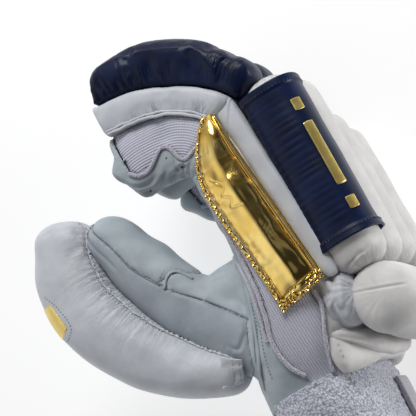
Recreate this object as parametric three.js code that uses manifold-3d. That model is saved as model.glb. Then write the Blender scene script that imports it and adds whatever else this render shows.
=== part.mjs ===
// A right-hand cricket batting glove with padded finger rolls, lying on its little-finger side.
// Millimetres. +Y runs from the cuff to the fingers, +X out of the back of the hand, +Z up, from the
// little finger to the thumb side. The origin is on the flat edge of the palm that the glove rests on.
import * as THREE from 'three';
import Module from 'manifold-3d';

const wasm = await Module();
wasm.setup();

// Driving dimensions of the glove
const pitch = 29;              // height from one finger to the next, with a roll on each
const lowestFinger = 14;       // height of the little finger's middle line
const fingerX = -2;            // middle line of the straight part of each finger
const leather = 2;             // wall of the glove leather and the knitted gussets
const gap = 0.35;              // what neighbouring pieces keep between them
const coverWall = 1.5;         // coloured leather over a roll
const terryWall = 4;           // looped towelling of the cuff
const strapWall = 2.4;         // hook-and-loop strap
const bendRadius = 22;         // middle line of a finger at its middle joint
const fingerStart = 22;        // height up the palm where a finger's middle line starts
const crotch = 46;             // top of the palm, where the fingers part
const seamFront = -8;          // knit to palm leather, from a finger's middle line towards the palm
const seamBack = 14.5;         // knit to back leather, from a finger's middle line towards the back
const wristEdge = -44;         // lower edge of the leather, where the cuff starts
const cuffEnd = -96;           // lower edge of the cuff

// One row a finger. rank: place up from the little finger, run: straight part, turn and tipTurn: bends
// in degrees, tipRadius: curl of the end part, deep and wide: half sizes of its stall.
const fingers = [
  { name: 'index', rank: 3, run: 44, turn: 80, tipRadius: 90, tipTurn: 18, deep: 17, wide: 12.4 },
  { name: 'middle', rank: 2, run: 46, turn: 84, tipRadius: 60, tipTurn: 26, deep: 17, wide: 12.4 },
  { name: 'ring', rank: 1, run: 31, turn: 86, tipRadius: 48, tipTurn: 24, deep: 16.5, wide: 12.4 },
  { name: 'little', rank: 0, run: 27, turn: 88, tipRadius: 42, tipTurn: 18, deep: 15, wide: 11.8 },
];

// Sections of the palm up the hand. palm and back: its faces, low and high: its edges.
const palmSections = [
  { y: wristEdge, palm: -46, back: 10, low: 6, high: 105 },
  { y: -28, palm: -43, back: 17, low: 0, high: 111.5 },
  { y: -6, palm: -34, back: 18, low: -2.5, high: 115 },
  { y: 22, palm: -23, back: 17, low: -2.5, high: 115.5 },
  { y: crotch, palm: -20, back: 15.5, low: -0.5, high: 114.5 },
];

// Where the palm leather ends on the thumb side, up the hand
const palmSeam = [
  { y: -60, x: -14 },
  { y: -40, x: -15.5 },
  { y: -26, x: -20 },
  { y: -13, x: -18 },
  { y: 0, x: -12.5 },
  { y: 56, x: -11.5 },
];

// Middle line of the thumb stall, and of the roll on its back
const thumbHeight = 94;
const thumbStall = [
  { x: -21, y: -26, deep: 15, wide: 14 },
  { x: -38, y: -3, deep: 15.5, wide: 14.5 },
  { x: -52, y: 19, deep: 16, wide: 14 },
  { x: -62, y: 41, deep: 15.5, wide: 13.8 },
  { x: -69, y: 59, deep: 13.5, wide: 13 },
  { x: -73, y: 71, deep: 10.5, wide: 11 },
  { x: -75, y: 77.5, deep: 5.5, wide: 6 },
];
const thumbRollSections = [
  { x: -42, y: -23, deep: 5, wide: 11 },
  { x: -48.5, y: -19, deep: 10.5, wide: 14.5 },
  { x: -62, y: -10.5, deep: 15.5, wide: 17 },
  { x: -79, y: 5.5, deep: 18.5, wide: 18.5 },
  { x: -91, y: 25, deep: 19.5, wide: 19 },
  { x: -97, y: 44, deep: 19.5, wide: 18.5 },
  { x: -97, y: 60, deep: 18, wide: 17.5 },
  { x: -92, y: 74.5, deep: 14, wide: 14 },
  { x: -88.5, y: 82, deep: 8, wide: 8.5 },
];

// Padding on the back
const distalRoll = { deep: 16, wide: 14.3 };
// Along a distal roll, from knuckle to tip. share: place, deep and wide: thickness. The dip is its flex crease.
const distalShape = [
  { share: 0, deep: 0.4, wide: 0.6 },
  { share: 0.08, deep: 0.82, wide: 0.94 },
  { share: 0.17, deep: 0.97, wide: 1 },
  { share: 0.22, deep: 0.91, wide: 0.98 },
  { share: 0.3, deep: 0.98, wide: 1 },
  { share: 0.56, deep: 1.03, wide: 1 },
  { share: 0.8, deep: 1.02, wide: 1 },
  { share: 0.95, deep: 0.84, wide: 0.92 },
  { share: 1, deep: 0.62, wide: 0.76 },
];
const proximalRoll = { deep: 15, wide: 14.3, x: 32, low: -9.5, dome: 9, past: 23.5 };
const domeShape = [{ share: 0, size: 0.42 }, { share: 0.3, size: 0.78 }, { share: 1, size: 1 }];
const rollSetBack = 6;         // how far a distal roll ends short of the finger's middle line
const wallHeight = 8.5;        // white side wall between a finger's stall and its distal roll
const bandEnds = { low: 4.5, high: 84.5 };
const handRoll = { x: 35.2, y: -28.5, radius: 17, low: 0, high: 112, dome: 9, bow: 3 };
const panelHeight = 115.4;     // middle plane of the foil panel
const ruffle = 1;              // how far each pucker of a gathered edge stands out
const pucker = 5.5;            // length of one pucker

// Pads round the back of the wrist. y and yMiddle: place at the ends and in the middle, high and thick:
// size, reach: degrees to each side, lift: stand-off from the wrist, lean: slant of the section.
const wristPads = {
  upper: { y: -33, yMiddle: -38, high: 15, thick: 11, reach: 62, lift: 4, lean: -0.35 },
  lower: { y: -40, yMiddle: -45, high: 15, thick: 8, reach: 72, lift: 2, lean: 0.1 },
};

// The foil panel up the hand. x: middle, half and thick: half sizes of its section.
const panelRows = [
  { y: -7, x: 4.2, half: 11.4, thick: 2 },
  { y: -4, x: 4.2, half: 11.8, thick: 4.2 },
  { y: 8, x: 3.2, half: 12, thick: 6 },
  { y: 42, x: -0.6, half: 12.4, thick: 6.6 },
  { y: 58, x: -1.8, half: 11.8, thick: 6.4 },
  { y: 71, x: -0.4, half: 9, thick: 5.6 },
  { y: 81, x: 2.6, half: 5, thick: 3.8 },
  { y: 88, x: 5.6, half: 1.4, thick: 1.8 },
];

// The wall beside the panel up the hand. half and tall: half sizes of its section.
const wallPlace = { x: 16, z: 110 };
const wallRows = [
  { y: -5, half: 3.4, tall: 4 },
  { y: 0, half: 4, tall: 6.2 },
  { y: 45, half: 4, tall: 6.4 },
  { y: 72, half: 3.8, tall: 6 },
  { y: 80, half: 2.6, tall: 3.4 },
];

// The gathered seam between the thumb's roll and its stall, from the wrist to the tip
const seamDepth = 7;
const thumbSeam = [
  { x: -46, y: -9, z: 107 },
  { x: -56.5, y: 5, z: 108.5 },
  { x: -67, y: 20, z: 109.5 },
  { x: -75.5, y: 38, z: 109 },
  { x: -80.5, y: 56, z: 107.5 },
  { x: -82, y: 70, z: 104 },
];

// The block that cuts the gold patch out of the thumb roll's skin
const patch = { x0: -116, x1: -106, y0: 34, y1: 52, z0: 101, z1: 130 };

// The wrist's oval that the pads follow
const wristOval = { x: -17.5, z: 58.5, halfX: 28, halfZ: 49 };

// Materials
const finish = (color, roughness, metalness = 0) =>
  new THREE.MeshStandardMaterial({ color, roughness, metalness });
const materials = {
  palm: finish(0xb8bdbe, 0.75),
  back: finish(0xdcdbd8, 0.6),
  roll: finish(0xe4e3e0, 0.55),
  navy: finish(0x1b2342, 0.45),
  knit: finish(0xc9c5d6, 0.9),
  gold: finish(0xc99a3a, 0.18, 1),
  terry: finish(0xd6d3de, 1),
  strap: finish(0xe6e4df, 0.5),
};

const rad = THREE.MathUtils.degToRad;
const outward = new THREE.Vector3(1, 0, 0);
const ahead = new THREE.Vector3(0, 1, 0);
const up = new THREE.Vector3(0, 0, 1);

// A closed superellipse, squarer as power rises. u and v are its unit axes.
function oval(centre, u, v, halfU, halfV, sides, power = 2.4) {
  const ring = [];
  for (let i = 0; i < sides; i++) {
    const angle = (i + 0.5) / sides * 2 * Math.PI;
    const round = (value) => Math.sign(value) * Math.abs(value) ** (2 / power);
    ring.push(centre.clone()
      .addScaledVector(u, halfU * round(Math.cos(angle)))
      .addScaledVector(v, halfV * round(Math.sin(angle))));
  }
  return ring;
}

// A closed solid through rings of equal length, with flat or nearly flat ends.
function loft(rings) {
  const sides = rings[0].length;
  const faces = [];
  for (let r = 0; r + 1 < rings.length; r++) {
    for (let i = 0; i < sides; i++) {
      const a = r * sides + i;
      const b = r * sides + (i + 1) % sides;
      faces.push(a, b, b + sides, a, b + sides, a + sides);
    }
  }
  const last = (rings.length - 1) * sides;
  for (const [a, b, c] of capFaces(rings[0])) faces.push(c, b, a);
  for (const [a, b, c] of capFaces(rings.at(-1))) faces.push(last + a, last + b, last + c);
  const geometry = new THREE.BufferGeometry();
  const values = rings.flat().flatMap((p) => p.toArray());
  geometry.setAttribute('position', new THREE.Float32BufferAttribute(values, 3));
  geometry.setIndex(faces);
  return solidOf(geometry);
}

// Triangles of an end, laid flat on the plane that fits it best.
function capFaces(ring) {
  const normal = new THREE.Vector3();
  ring.forEach((p, i) => normal.add(new THREE.Vector3().crossVectors(p, ring[(i + 1) % ring.length])));
  const flat = new THREE.Quaternion().setFromUnitVectors(normal.normalize(), up);
  const outline = ring.map((p) => {
    const q = p.clone().applyQuaternion(flat);
    return new THREE.Vector2(q.x, q.y);
  });
  return THREE.ShapeUtils.triangulateShape(outline, []);
}

// Booleans work on solids, and a mesh is made from the result.
function solidOf(geometry) {
  const positions = geometry.getAttribute('position').array;
  const faces = Uint32Array.from(geometry.getIndex().array);
  let volume = 0;
  const corner = (i) => new THREE.Vector3().fromArray(positions, 3 * faces[i]);
  for (let i = 0; i < faces.length; i += 3) {
    volume += corner(i).dot(corner(i + 1).cross(corner(i + 2)));
  }
  if (volume < 0) faces.reverse();
  return new wasm.Manifold(new wasm.Mesh({
    numProp: 3, vertProperties: Float32Array.from(positions), triVerts: faces,
  }));
}

function block(x0, y0, z0, x1, y1, z1) {
  const box = new THREE.BoxGeometry(x1 - x0, y1 - y0, z1 - z0);
  box.translate((x0 + x1) / 2, (y0 + y1) / 2, (z0 + z1) / 2);
  const corners = [];
  const position = box.getAttribute('position');
  for (let i = 0; i < position.count; i++) corners.push(new THREE.Vector3().fromBufferAttribute(position, i));
  const places = [...new Map(corners.map((c) => [c.toArray().join(), c])).values()];
  const order = corners.map((c) => places.findIndex((p) => p.equals(c)));
  const merged = new THREE.BufferGeometry();
  merged.setAttribute('position', new THREE.Float32BufferAttribute(places.flatMap((p) => p.toArray()), 3));
  merged.setIndex([...box.getIndex().array].map((i) => order[i]));
  return solidOf(merged);
}

// A flat outline in X and Y, standing from z0 to z1.
function prism(outline, z0, z1) {
  const ringAt = (z) => outline.map(([x, y]) => new THREE.Vector3(x, y, z));
  return loft([ringAt(z0), ringAt(z1)]);
}

const join = (solids) => solids.reduce((sum, solid) => sum.add(solid));
const cut = (solid, ...tools) => tools.reduce((rest, tool) => rest.subtract(tool), solid);

// Everything above the surface that the glove lies on
const aboveFloor = block(-300, -300, 0, 300, 300, 400);

// A finger's middle line: a straight part, the middle joint's bend and the curl of the end part.
// at(t) gives the place and the two directions at t millimetres along it.
function fingerLine(finger) {
  const bendLength = bendRadius * rad(finger.turn);
  const curlLength = finger.tipRadius * rad(finger.tipTurn);
  const bendCentre = new THREE.Vector3(fingerX - bendRadius, fingerStart + finger.run, finger.z);
  const arc = (centre, radius, heading) => new THREE.Vector3(
    centre.x + radius * Math.sin(heading), centre.y - radius * Math.cos(heading), finger.z);
  const bendEnd = arc(bendCentre, bendRadius, rad(90 + finger.turn));
  const curlCentre = bendEnd.clone().add(new THREE.Vector3(
    -Math.sin(rad(90 + finger.turn)), Math.cos(rad(90 + finger.turn)), 0).multiplyScalar(finger.tipRadius));
  const knuckle = finger.run;
  const curl = knuckle + bendLength;
  const length = curl + curlLength;
  const at = (t) => {
    let heading = rad(90);
    let point = new THREE.Vector3(fingerX, fingerStart + Math.min(t, finger.run), finger.z);
    if (t > knuckle) {
      heading += Math.min(t - knuckle, bendLength) / bendRadius;
      point = arc(bendCentre, bendRadius, heading);
    }
    if (t > curl) {
      heading = rad(90 + finger.turn) + (t - curl) / finger.tipRadius;
      point = arc(curlCentre, finger.tipRadius, heading);
    }
    const back = new THREE.Vector3(Math.sin(heading), -Math.cos(heading), 0);
    return { point, back };
  };
  const stations = [
    -6, knuckle, knuckle + bendLength / 3, knuckle + bendLength * 2 / 3, curl, (curl + length) / 2 - 2,
    length - 5,
  ];
  return { at, length, knuckle, curl, stations };
}

for (const finger of fingers) {
  finger.z = lowestFinger + finger.rank * pitch;
  finger.line = fingerLine(finger);
}

// A solid swept along a finger's line. Each station has t, and the half sizes and the shift to the back.
function sweepFinger(finger, stations, sides, power) {
  return loft(stations.map(({ t, deep, wide, shift = 0 }) => {
    const { point, back } = finger.line.at(t);
    return oval(point.clone().addScaledVector(back, shift), back, up, deep, wide, sides, power);
  }));
}

// The stall of one finger, made larger by grow all round. It starts inside the palm.
function stallForm(finger, grow) {
  const tip = [[0.5, 0.82], [4.2, 0.4]];
  const deep = finger.deep + grow;
  const wide = finger.wide + grow;
  const stations = finger.line.stations.map((t) => ({ t, deep, wide }));
  for (const [past, share] of tip) {
    stations.push({
      t: finger.line.length + past + grow, deep: finger.deep * share + grow * Math.sqrt(share),
      wide: finger.wide * share + grow * Math.sqrt(share), shift: (1 - share) * 2,
    });
  }
  return sweepFinger(finger, stations, 12, 2.6);
}

// The region of a finger between two distances from its middle line, as a cutting tool
function fingerSlab(finger, from, to, tStart, tEnd, halfWidth, zShift = 0) {
  const between = finger.line.stations.filter((t) => t > tStart + 1 && t < tEnd - 1);
  return loft([tStart, ...between, tEnd].map((t) => {
    const { point, back } = finger.line.at(t);
    const corner = (out, side) => point.clone().addScaledVector(back, out).addScaledVector(up, zShift + side);
    return [corner(from, -halfWidth), corner(to, -halfWidth), corner(to, halfWidth), corner(from, halfWidth)];
  }));
}

function palmForm(grow) {
  const rings = palmSections.map(({ y, palm, back, low, high }, i) => {
    const first = i === 0 ? -1 : 0;
    const last = i === palmSections.length - 1 ? 1 : 0;
    const place = y + (grow < 0 ? 12 * first + grow * last : grow * (first + last));
    const centre = new THREE.Vector3((palm + back) / 2, place, (low + high) / 2);
    const halfX = (back - palm) / 2 + grow;
    const halfZ = (high - low) / 2 + grow;
    return oval(centre, outward, up, halfX, halfZ, 20, 3);
  });
  return loft(rings);
}

// The skin between thumb and palm
function webForm(grow) {
  const sections = [{ x: -6, y: 12, half: 15 }, { x: -24, y: 12.5, half: 14 }, { x: -48, y: 15, half: 11 }];
  return loft(sections.map(({ x, y, half }) => oval(
    new THREE.Vector3(x, y, thumbHeight), ahead, up, half + grow, 9.5 + grow, 12, 2.2)));
}

// A solid through sections in the thumb's plane, square to the line through their middles.
function thumbForm(sections, grow, sides) {
  const middle = (s) => new THREE.Vector3(s.x, s.y, thumbHeight);
  return loft(sections.map((s, i) => {
    const before = middle(sections[Math.max(0, i - 1)]);
    const after = middle(sections[Math.min(sections.length - 1, i + 1)]);
    const along = after.sub(before).normalize();
    const across = new THREE.Vector3(-along.y, along.x, 0);
    const last = i === sections.length - 1 ? grow : 0;
    const small = Math.min(1, s.deep / 6);
    return oval(middle(s).addScaledVector(along, last), across, up,
      s.deep + grow * small, s.wide + grow * small, sides, 2.3);
  }));
}

// The whole hand, as thick as grow makes it
function handForm(grow) {
  const parts = [palmForm(grow), webForm(grow), thumbForm(thumbStall, grow, 12)];
  for (const finger of fingers) parts.push(stallForm(finger, grow));
  return join(parts);
}

// The leather shell, flattened where it lies on the floor
const handClear = handForm(gap);
const handHollow = handForm(-leather).intersect(block(-300, -300, leather, 300, 300, 400));
const handShell = cut(handForm(0).intersect(aboveFloor), handHollow);

// The side of the thumb's line towards the fingers, or away from it, from one station on
function thumbSlab(from, to, firstStation, startShare) {
  const rings = [];
  const points = thumbStall.slice(firstStation).map((s) => new THREE.Vector3(s.x, s.y, thumbHeight));
  points[0].lerp(points[1], startShare);
  points.forEach((p, i) => {
    const along = (points[i + 1] ?? p).clone().sub(points[i - 1] ?? p).normalize();
    const away = new THREE.Vector3(-along.y, along.x, 0);
    const place = i === points.length - 1 ? p.clone().addScaledVector(along, 6) : p;
    const corner = (out, side) => place.clone().addScaledVector(away, out).addScaledVector(up, side);
    rings.push([corner(from, -24), corner(to, -24), corner(to, 24), corner(from, 24)]);
  });
  return loft(rings);
}

// Regions of the hand's shell
const seamOutline = (shift) => [
  ...palmSeam.map(({ x, y }) => [x + shift, y]), [-150, palmSeam.at(-1).y], [-150, palmSeam[0].y],
];
function frontRegion(shift) {
  const regions = [prism(seamOutline(shift), -20, 140)];
  for (const finger of fingers) {
    const start = crotch - fingerStart - 4;
    regions.push(fingerSlab(finger, -19.5, seamFront + shift, start, finger.line.length + 9, 14.4));
  }
  return join(regions);
}

function knitRegion(finger, side, grow) {
  const start = finger.name === 'index' && side > 0 ? finger.line.knuckle + 6 : crotch - fingerStart + 3;
  const end = finger.line.length - 4;
  const middle = finger.wide - 2;
  return fingerSlab(
    finger, seamFront + gap - grow, seamBack + grow, start - grow, end + grow, 4, side * middle);
}

const handKnitOutline = (grow) => [
  [-17.5 - grow, -13], [-10 - grow, -7 + grow], [4 + grow, -8 + grow], [5.5 + grow, -14],
  [3 + grow, -27], [1.5 + grow, -60], [-14 - grow, -60], [-15.1 - grow, -40], [-19.6 - grow, -26],
];
const handKnitRegion = (grow) => prism(handKnitOutline(grow), 70, 140);

const nodes = [];
function add(name, solid, material) {
  const { vertProperties, triVerts } = solid.getMesh();
  const geometry = new THREE.BufferGeometry();
  geometry.setAttribute('position', new THREE.BufferAttribute(Float32Array.from(vertProperties), 3));
  geometry.setIndex(new THREE.BufferAttribute(Uint32Array.from(triVerts), 1));
  geometry.computeVertexNormals();
  const mesh = new THREE.Mesh(geometry, material);
  mesh.name = name;
  nodes.push(mesh);
}

// Hand: thumb leathers, palm leather, knits and back leather
const thumbBack = thumbSlab(gap / 2, 24, 1, 0.15);
const thumbBackWide = thumbSlab(-gap / 2, 24, 1, 0.13);
const thumbPad = thumbSlab(-20, -gap / 2, 2, 0.55);
const thumbPadWide = thumbSlab(-20, gap / 2, 2, 0.52);
const thumbSolid = thumbForm(thumbStall, 1, 12);
add('thumb_side', cut(handShell.intersect(thumbBack), palmForm(gap)), materials.palm);
add('thumb_pad', handShell.intersect(thumbPad).intersect(thumbSolid), materials.palm);
add('palm_leather', cut(handShell.intersect(frontRegion(0)), thumbBackWide, thumbPadWide), materials.palm);
let backLeather = cut(handShell, frontRegion(gap), handKnitRegion(gap), thumbBackWide, thumbPadWide);
add('hand_knit', cut(handShell.intersect(handKnitRegion(0)), frontRegion(gap)), materials.knit);
for (const finger of fingers) {
  for (const [side, word] of [[1, 'thumbward'], [-1, 'outward']]) {
    const knit = cut(handShell.intersect(knitRegion(finger, side, 0)), frontRegion(gap));
    add(`${finger.name}_knit_${word}`, knit, materials.knit);
    backLeather = cut(backLeather, knitRegion(finger, side, gap));
  }
}
add('back_leather', backLeather, materials.back);

// The roll over a finger's end, from the middle joint to the tip
function distalForm(finger) {
  const start = THREE.MathUtils.lerp(finger.line.knuckle, finger.line.curl, 0.3);
  const end = finger.line.length - rollSetBack;
  const stations = distalShape.map(({ share, deep, wide }) => ({
    t: THREE.MathUtils.lerp(start, end, share), deep: distalRoll.deep * deep, wide: distalRoll.wide * wide,
    shift: finger.deep + gap + distalRoll.deep * (1 + 0.8 * (deep - 1)),
  }));
  return sweepFinger(finger, stations, 14, 2.6);
}

// The roll over a finger's root and knuckle: straight, with domed ends
function proximalForm(finger, grow) {
  const { deep, wide, x, low, dome, past } = proximalRoll;
  const high = fingerStart + finger.run + past;
  const rows = [
    ...domeShape.map(({ share, size }) => ({ y: low + dome * share - grow * (1 - share), size })),
    ...domeShape.map(({ share, size }) => ({ y: high - dome * share + grow * (1 - share), size })).reverse(),
  ];
  return loft(rows.map(({ y, size }) => oval(new THREE.Vector3(x, y, finger.z), outward, up,
    (deep - finger.band) * size + grow, (wide - finger.band) * size + grow, 14, 2.6)));
}

const [index] = fingers;
for (const finger of fingers) finger.band = finger === index ? coverWall + gap : 0;
for (const finger of fingers) {
  // The distal roll is navy leather on a low white side wall.
  const roll = cut(distalForm(finger), proximalForm(finger, gap + finger.band)).intersect(aboveFloor);
  const split = finger.deep + wallHeight;
  const { knuckle, length } = finger.line;
  const region = (from, to) => fingerSlab(finger, from, to, knuckle - 6, length + 12, 22);
  add(`${finger.name}_distal_wall`, cut(roll.intersect(region(0, split)), handClear), materials.roll);
  add(`${finger.name}_distal_roll`, roll.intersect(region(split + gap, split + 60)), materials.navy);
  const proximal = cut(proximalForm(finger, 0), handClear).intersect(aboveFloor);
  add(`${finger.name}_proximal_roll`, proximal, materials.roll);
}

// The navy band round the index finger's proximal roll, open towards the hand
const bandForm = cut(proximalForm(index, coverWall + gap), proximalForm(index, gap), handClear);
const bandRegion = block(19.5, bandEnds.low, 60, 80, bandEnds.high, 150);
add('index_roll_band', bandForm.intersect(bandRegion), materials.navy);

// The roll across the back of the hand, below the knuckles
function handRollForm() {
  const { x, y, radius, low, high, dome, bow } = handRoll;
  const middle = (low + high) / 2;
  const bowAt = (z) => bow * (Math.cos((z - middle) / (high - low) * Math.PI) - 0.5);
  const rows = [
    ...domeShape.map(({ share, size }) => ({ z: low + dome * share, size })), { z: middle, size: 1.03 },
    ...domeShape.map(({ share, size }) => ({ z: high - dome * share, size })).reverse(),
  ];
  return loft(rows.map(({ z, size }) => oval(
    new THREE.Vector3(x + bowAt(z), y, z), outward, ahead, radius * size, radius * size, 16, 2.2)));
}
add('hand_roll', cut(handRollForm(), handClear), materials.roll);

// A pad that wraps round the back of the wrist, from the thumb side to the little-finger side.
// It follows the wrist's oval and tapers at both ends.
function wristPad({ y, yMiddle, high, thick, reach, lift, lean }, grow = 0) {
  const steps = 9;
  const rings = [];
  for (let i = 0; i <= steps; i++) {
    const share = i / steps;
    const angle = rad((reach + grow) * (1 - 2 * share));
    const out = new THREE.Vector3(Math.cos(angle), 0, Math.sin(angle));
    const taper = Math.sqrt(Math.max(0.04, 1 - Math.abs(2 * share - 1) ** 5));
    const place = new THREE.Vector3(
      wristOval.x + wristOval.halfX * out.x, THREE.MathUtils.lerp(y, yMiddle, Math.sin(share * Math.PI)),
      wristOval.z + wristOval.halfZ * out.z).addScaledVector(out, lift + thick * 0.4);
    const across = ahead.clone().addScaledVector(out, lean).normalize();
    const side = new THREE.Vector3().crossVectors(out, across);
    const outer = new THREE.Vector3().crossVectors(across, side).normalize();
    rings.push(oval(place, outer, across, thick / 2 * taper + grow, high / 2 * taper + grow, 12, 2.3));
  }
  return loft(rings);
}
const handRollClear = loft([-10, 130].map((z) => oval(
  new THREE.Vector3(handRoll.x, handRoll.y, z), outward, ahead,
  handRoll.radius + handRoll.bow / 2, handRoll.radius + gap, 16, 2.2)));
add('wrist_pad_upper', cut(wristPad(wristPads.upper), handClear, handRollClear), materials.roll);
const lowerPad = cut(wristPad(wristPads.lower), handClear, wristPad(wristPads.upper, gap), handRollClear);

// Cuff: a tube of towelling below the leather, on the wrist's oval
const cuffSections = [
  { y: wristEdge - gap, palm: -45.5, back: 10, low: 9.5, high: 107.5 },
  { y: wristEdge - 7, palm: -46.5, back: 10.5, low: 9, high: 108 },
  { y: -72, palm: -43, back: 9, low: 11.5, high: 105 },
  { y: cuffEnd, palm: -44, back: 10, low: 10.5, high: 106 },
];
function cuffForm(grow, past = 0) {
  return loft(cuffSections.map(({ y, palm, back, low, high }, i) => {
    const end = i === 0 ? past : i === cuffSections.length - 1 ? -past : 0;
    const centre = new THREE.Vector3((palm + back) / 2, y + end, (low + high) / 2);
    return oval(centre, outward, up, (back - palm) / 2 + grow, (high - low) / 2 + grow, 20, 2.5);
  }));
}
add('cuff', cut(cuffForm(0), cuffForm(-terryWall, 3)), materials.terry);
add('wrist_pad_lower', cut(lowerPad, cuffForm(gap, 0)), materials.roll);

// The strap lies on the cuff, from the back of the wrist round the little-finger side to the palm.
const strapOutline = [[60, -54], [60, -90], [-60, -90], [-60, -54]];
const strapRegion = join([
  prism(strapOutline, -20, 62).intersect(block(-18, -200, -40, 80, 200, 62)),
  prism(strapOutline, -20, 80).intersect(block(-80, -200, -40, -17.9, 200, 36)),
]);
add('strap', cut(cuffForm(gap + strapWall, 0), cuffForm(gap, 4)).intersect(strapRegion), materials.strap);

// The padded roll on the back of the thumb, and the patch let into its outer side
const thumbRoll = cut(thumbForm(thumbRollSections, 0, 14), handClear);
add('thumb_roll', thumbRoll, materials.roll);
const patchRegion = block(patch.x0, patch.y0, patch.z0, patch.x1, patch.y1, patch.z1);
add('thumb_patch', cut(thumbForm(thumbRollSections, gap + 1, 14), thumbForm(thumbRollSections, gap, 14))
  .intersect(patchRegion), materials.gold);

// Points every step millimetres along a line through the places
function walk(places, step) {
  const curve = new THREE.CatmullRomCurve3(places);
  return curve.getSpacedPoints(Math.round(curve.getLength() / step));
}

// The gathered seam allowance between the thumb's roll and its stall: a strip that zigzags as it goes
const seamPlaces = thumbSeam.map(({ x, y, z }) => new THREE.Vector3(x, y, z));
const seamPoints = walk(seamPlaces, pucker);
const seamStrip = loft(seamPoints.map((p, i) => {
  const along = (seamPoints[i + 1] ?? p).clone().sub(seamPoints[i - 1] ?? p).normalize();
  const away = new THREE.Vector3(-along.y, along.x, 0).normalize();
  const centre = p.clone().addScaledVector(away, i % 2 ? ruffle : -ruffle);
  return oval(centre, away, up, leather / 2, seamDepth / 2, 6, 2.2);
}));
add('thumb_seam_ruffle', cut(seamStrip, handClear, thumbForm(thumbRollSections, gap, 14)), materials.back);

// The foil panel beside the index finger, padded in the middle, its palm side gathered in puckers
function panelForm(grow) {
  const places = walk(panelRows.map(({ y, half }) => new THREE.Vector3(0, y, half)), pucker);
  const rings = places.map(({ y }, i) => {
    const next = Math.max(1, panelRows.findIndex((row) => row.y >= y - 1e-6));
    const [a, b] = [panelRows[next - 1], panelRows[next]];
    const share = (y - a.y) / (b.y - a.y);
    const mix = (key) => THREE.MathUtils.lerp(a[key], b[key], share);
    const out = i % 2 && grow === 0 ? ruffle : 0;
    const wide = grow > 0 ? ruffle : out;
    return oval(new THREE.Vector3(mix('x') - wide / 2, y, panelHeight), outward, up,
      mix('half') + wide / 2 + grow, mix('thick') + grow, 12, 2);
  });
  return loft(rings);
}
add('index_side_panel', cut(panelForm(0), handClear), materials.gold);

// The white leather wall between the panel and the index finger's proximal roll
const wall = loft(wallRows.map(({ y, half, tall }) => oval(
  new THREE.Vector3(wallPlace.x, y, wallPlace.z), outward, up, half, tall, 10, 2.4)));
add('index_side_wall', cut(wall, handClear, panelForm(gap), proximalForm(index, coverWall + 2 * gap)),
  materials.back);

const glove = new THREE.Group();
for (const mesh of nodes) glove.add(mesh);
export default glove;
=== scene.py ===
# %% [markdown]
# # A cricket batting glove for the right hand
# The glove lies on its little-finger side on a pale table, with the thumb side up. A real one is cut
# from leather, knit and towelling, sewn round padded rolls, and turned. This lesson does the same in
# Blender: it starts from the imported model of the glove, which fixes every place and size, and gives
# each plain solid its real skin, padding, seams and finish.

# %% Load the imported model
import math

import bmesh
import bpy
import numpy as np
from mathutils import Matrix, Vector
from mathutils.bvhtree import BVHTree


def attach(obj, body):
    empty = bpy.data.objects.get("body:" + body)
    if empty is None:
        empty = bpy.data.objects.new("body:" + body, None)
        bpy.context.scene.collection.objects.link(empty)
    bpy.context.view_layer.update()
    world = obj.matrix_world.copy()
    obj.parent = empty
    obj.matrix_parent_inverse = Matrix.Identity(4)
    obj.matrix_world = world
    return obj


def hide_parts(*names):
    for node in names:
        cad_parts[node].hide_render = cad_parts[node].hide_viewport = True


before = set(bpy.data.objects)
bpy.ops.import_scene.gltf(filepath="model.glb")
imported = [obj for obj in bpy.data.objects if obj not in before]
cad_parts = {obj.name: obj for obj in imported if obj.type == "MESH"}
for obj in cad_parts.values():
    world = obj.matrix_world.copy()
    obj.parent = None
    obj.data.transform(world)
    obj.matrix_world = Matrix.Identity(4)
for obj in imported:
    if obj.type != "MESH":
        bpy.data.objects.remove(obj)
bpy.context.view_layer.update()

scene = bpy.context.scene
MM = 0.001
print("solids in the packed model:", len(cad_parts))

# %% [markdown]
# ## Camera
# The glove is seen from above its thumb side, from 20 degrees off straight down. A long lens keeps the
# rolls from bulging towards the eye. The camera's three axes are worked out from three angles, and its
# place from one point of the glove that has to land on one point of the picture.

# %% Camera
TILT, LEAN, ROLL = math.radians(20), math.radians(-42), math.radians(30)
DISTANCE = 650
AIM = Vector((0, 0, 105))
AIM_OFFSET = (39.15, -34.65)

toward = Vector((math.sin(TILT) * math.cos(LEAN), math.sin(TILT) * math.sin(LEAN), math.cos(TILT)))
tip_over = Vector((0, 0, 1)).rotation_difference(toward)
right = tip_over @ Vector((math.cos(ROLL), -math.sin(ROLL), 0))
above = tip_over @ Vector((math.sin(ROLL), math.cos(ROLL), 0))
eye = AIM - right * AIM_OFFSET[0] - above * AIM_OFFSET[1] + toward * DISTANCE

camera = bpy.data.objects.new("camera", bpy.data.cameras.new("camera"))
scene.collection.objects.link(camera)
camera.data.sensor_width = 36
camera.data.lens = 125
camera.data.clip_start = 0.05
camera.data.clip_end = 20
axes = Matrix((right, above, toward)).transposed().to_4x4()
camera.matrix_world = Matrix.Translation(eye * MM) @ axes
scene.camera = camera
print("camera at", [round(x) for x in eye], "mm")

# %% [markdown]
# ## Materials
# Every finish is built from noise, waves and cells, scaled from real sizes in millimetres. One function
# adds a node with its settings and links, and another turns the sRGB hex colours of a colour chart into
# the linear values that the shader wants.


# %% Colour and node helpers
def linear(code):
    """An sRGB hex colour as linear red, green, blue and alpha"""
    parts = [int(code[i:i + 2], 16) / 255 for i in (0, 2, 4)]
    return [p / 12.92 if p < 0.04045 else ((p + 0.055) / 1.055) ** 2.4 for p in parts] + [1]


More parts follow.
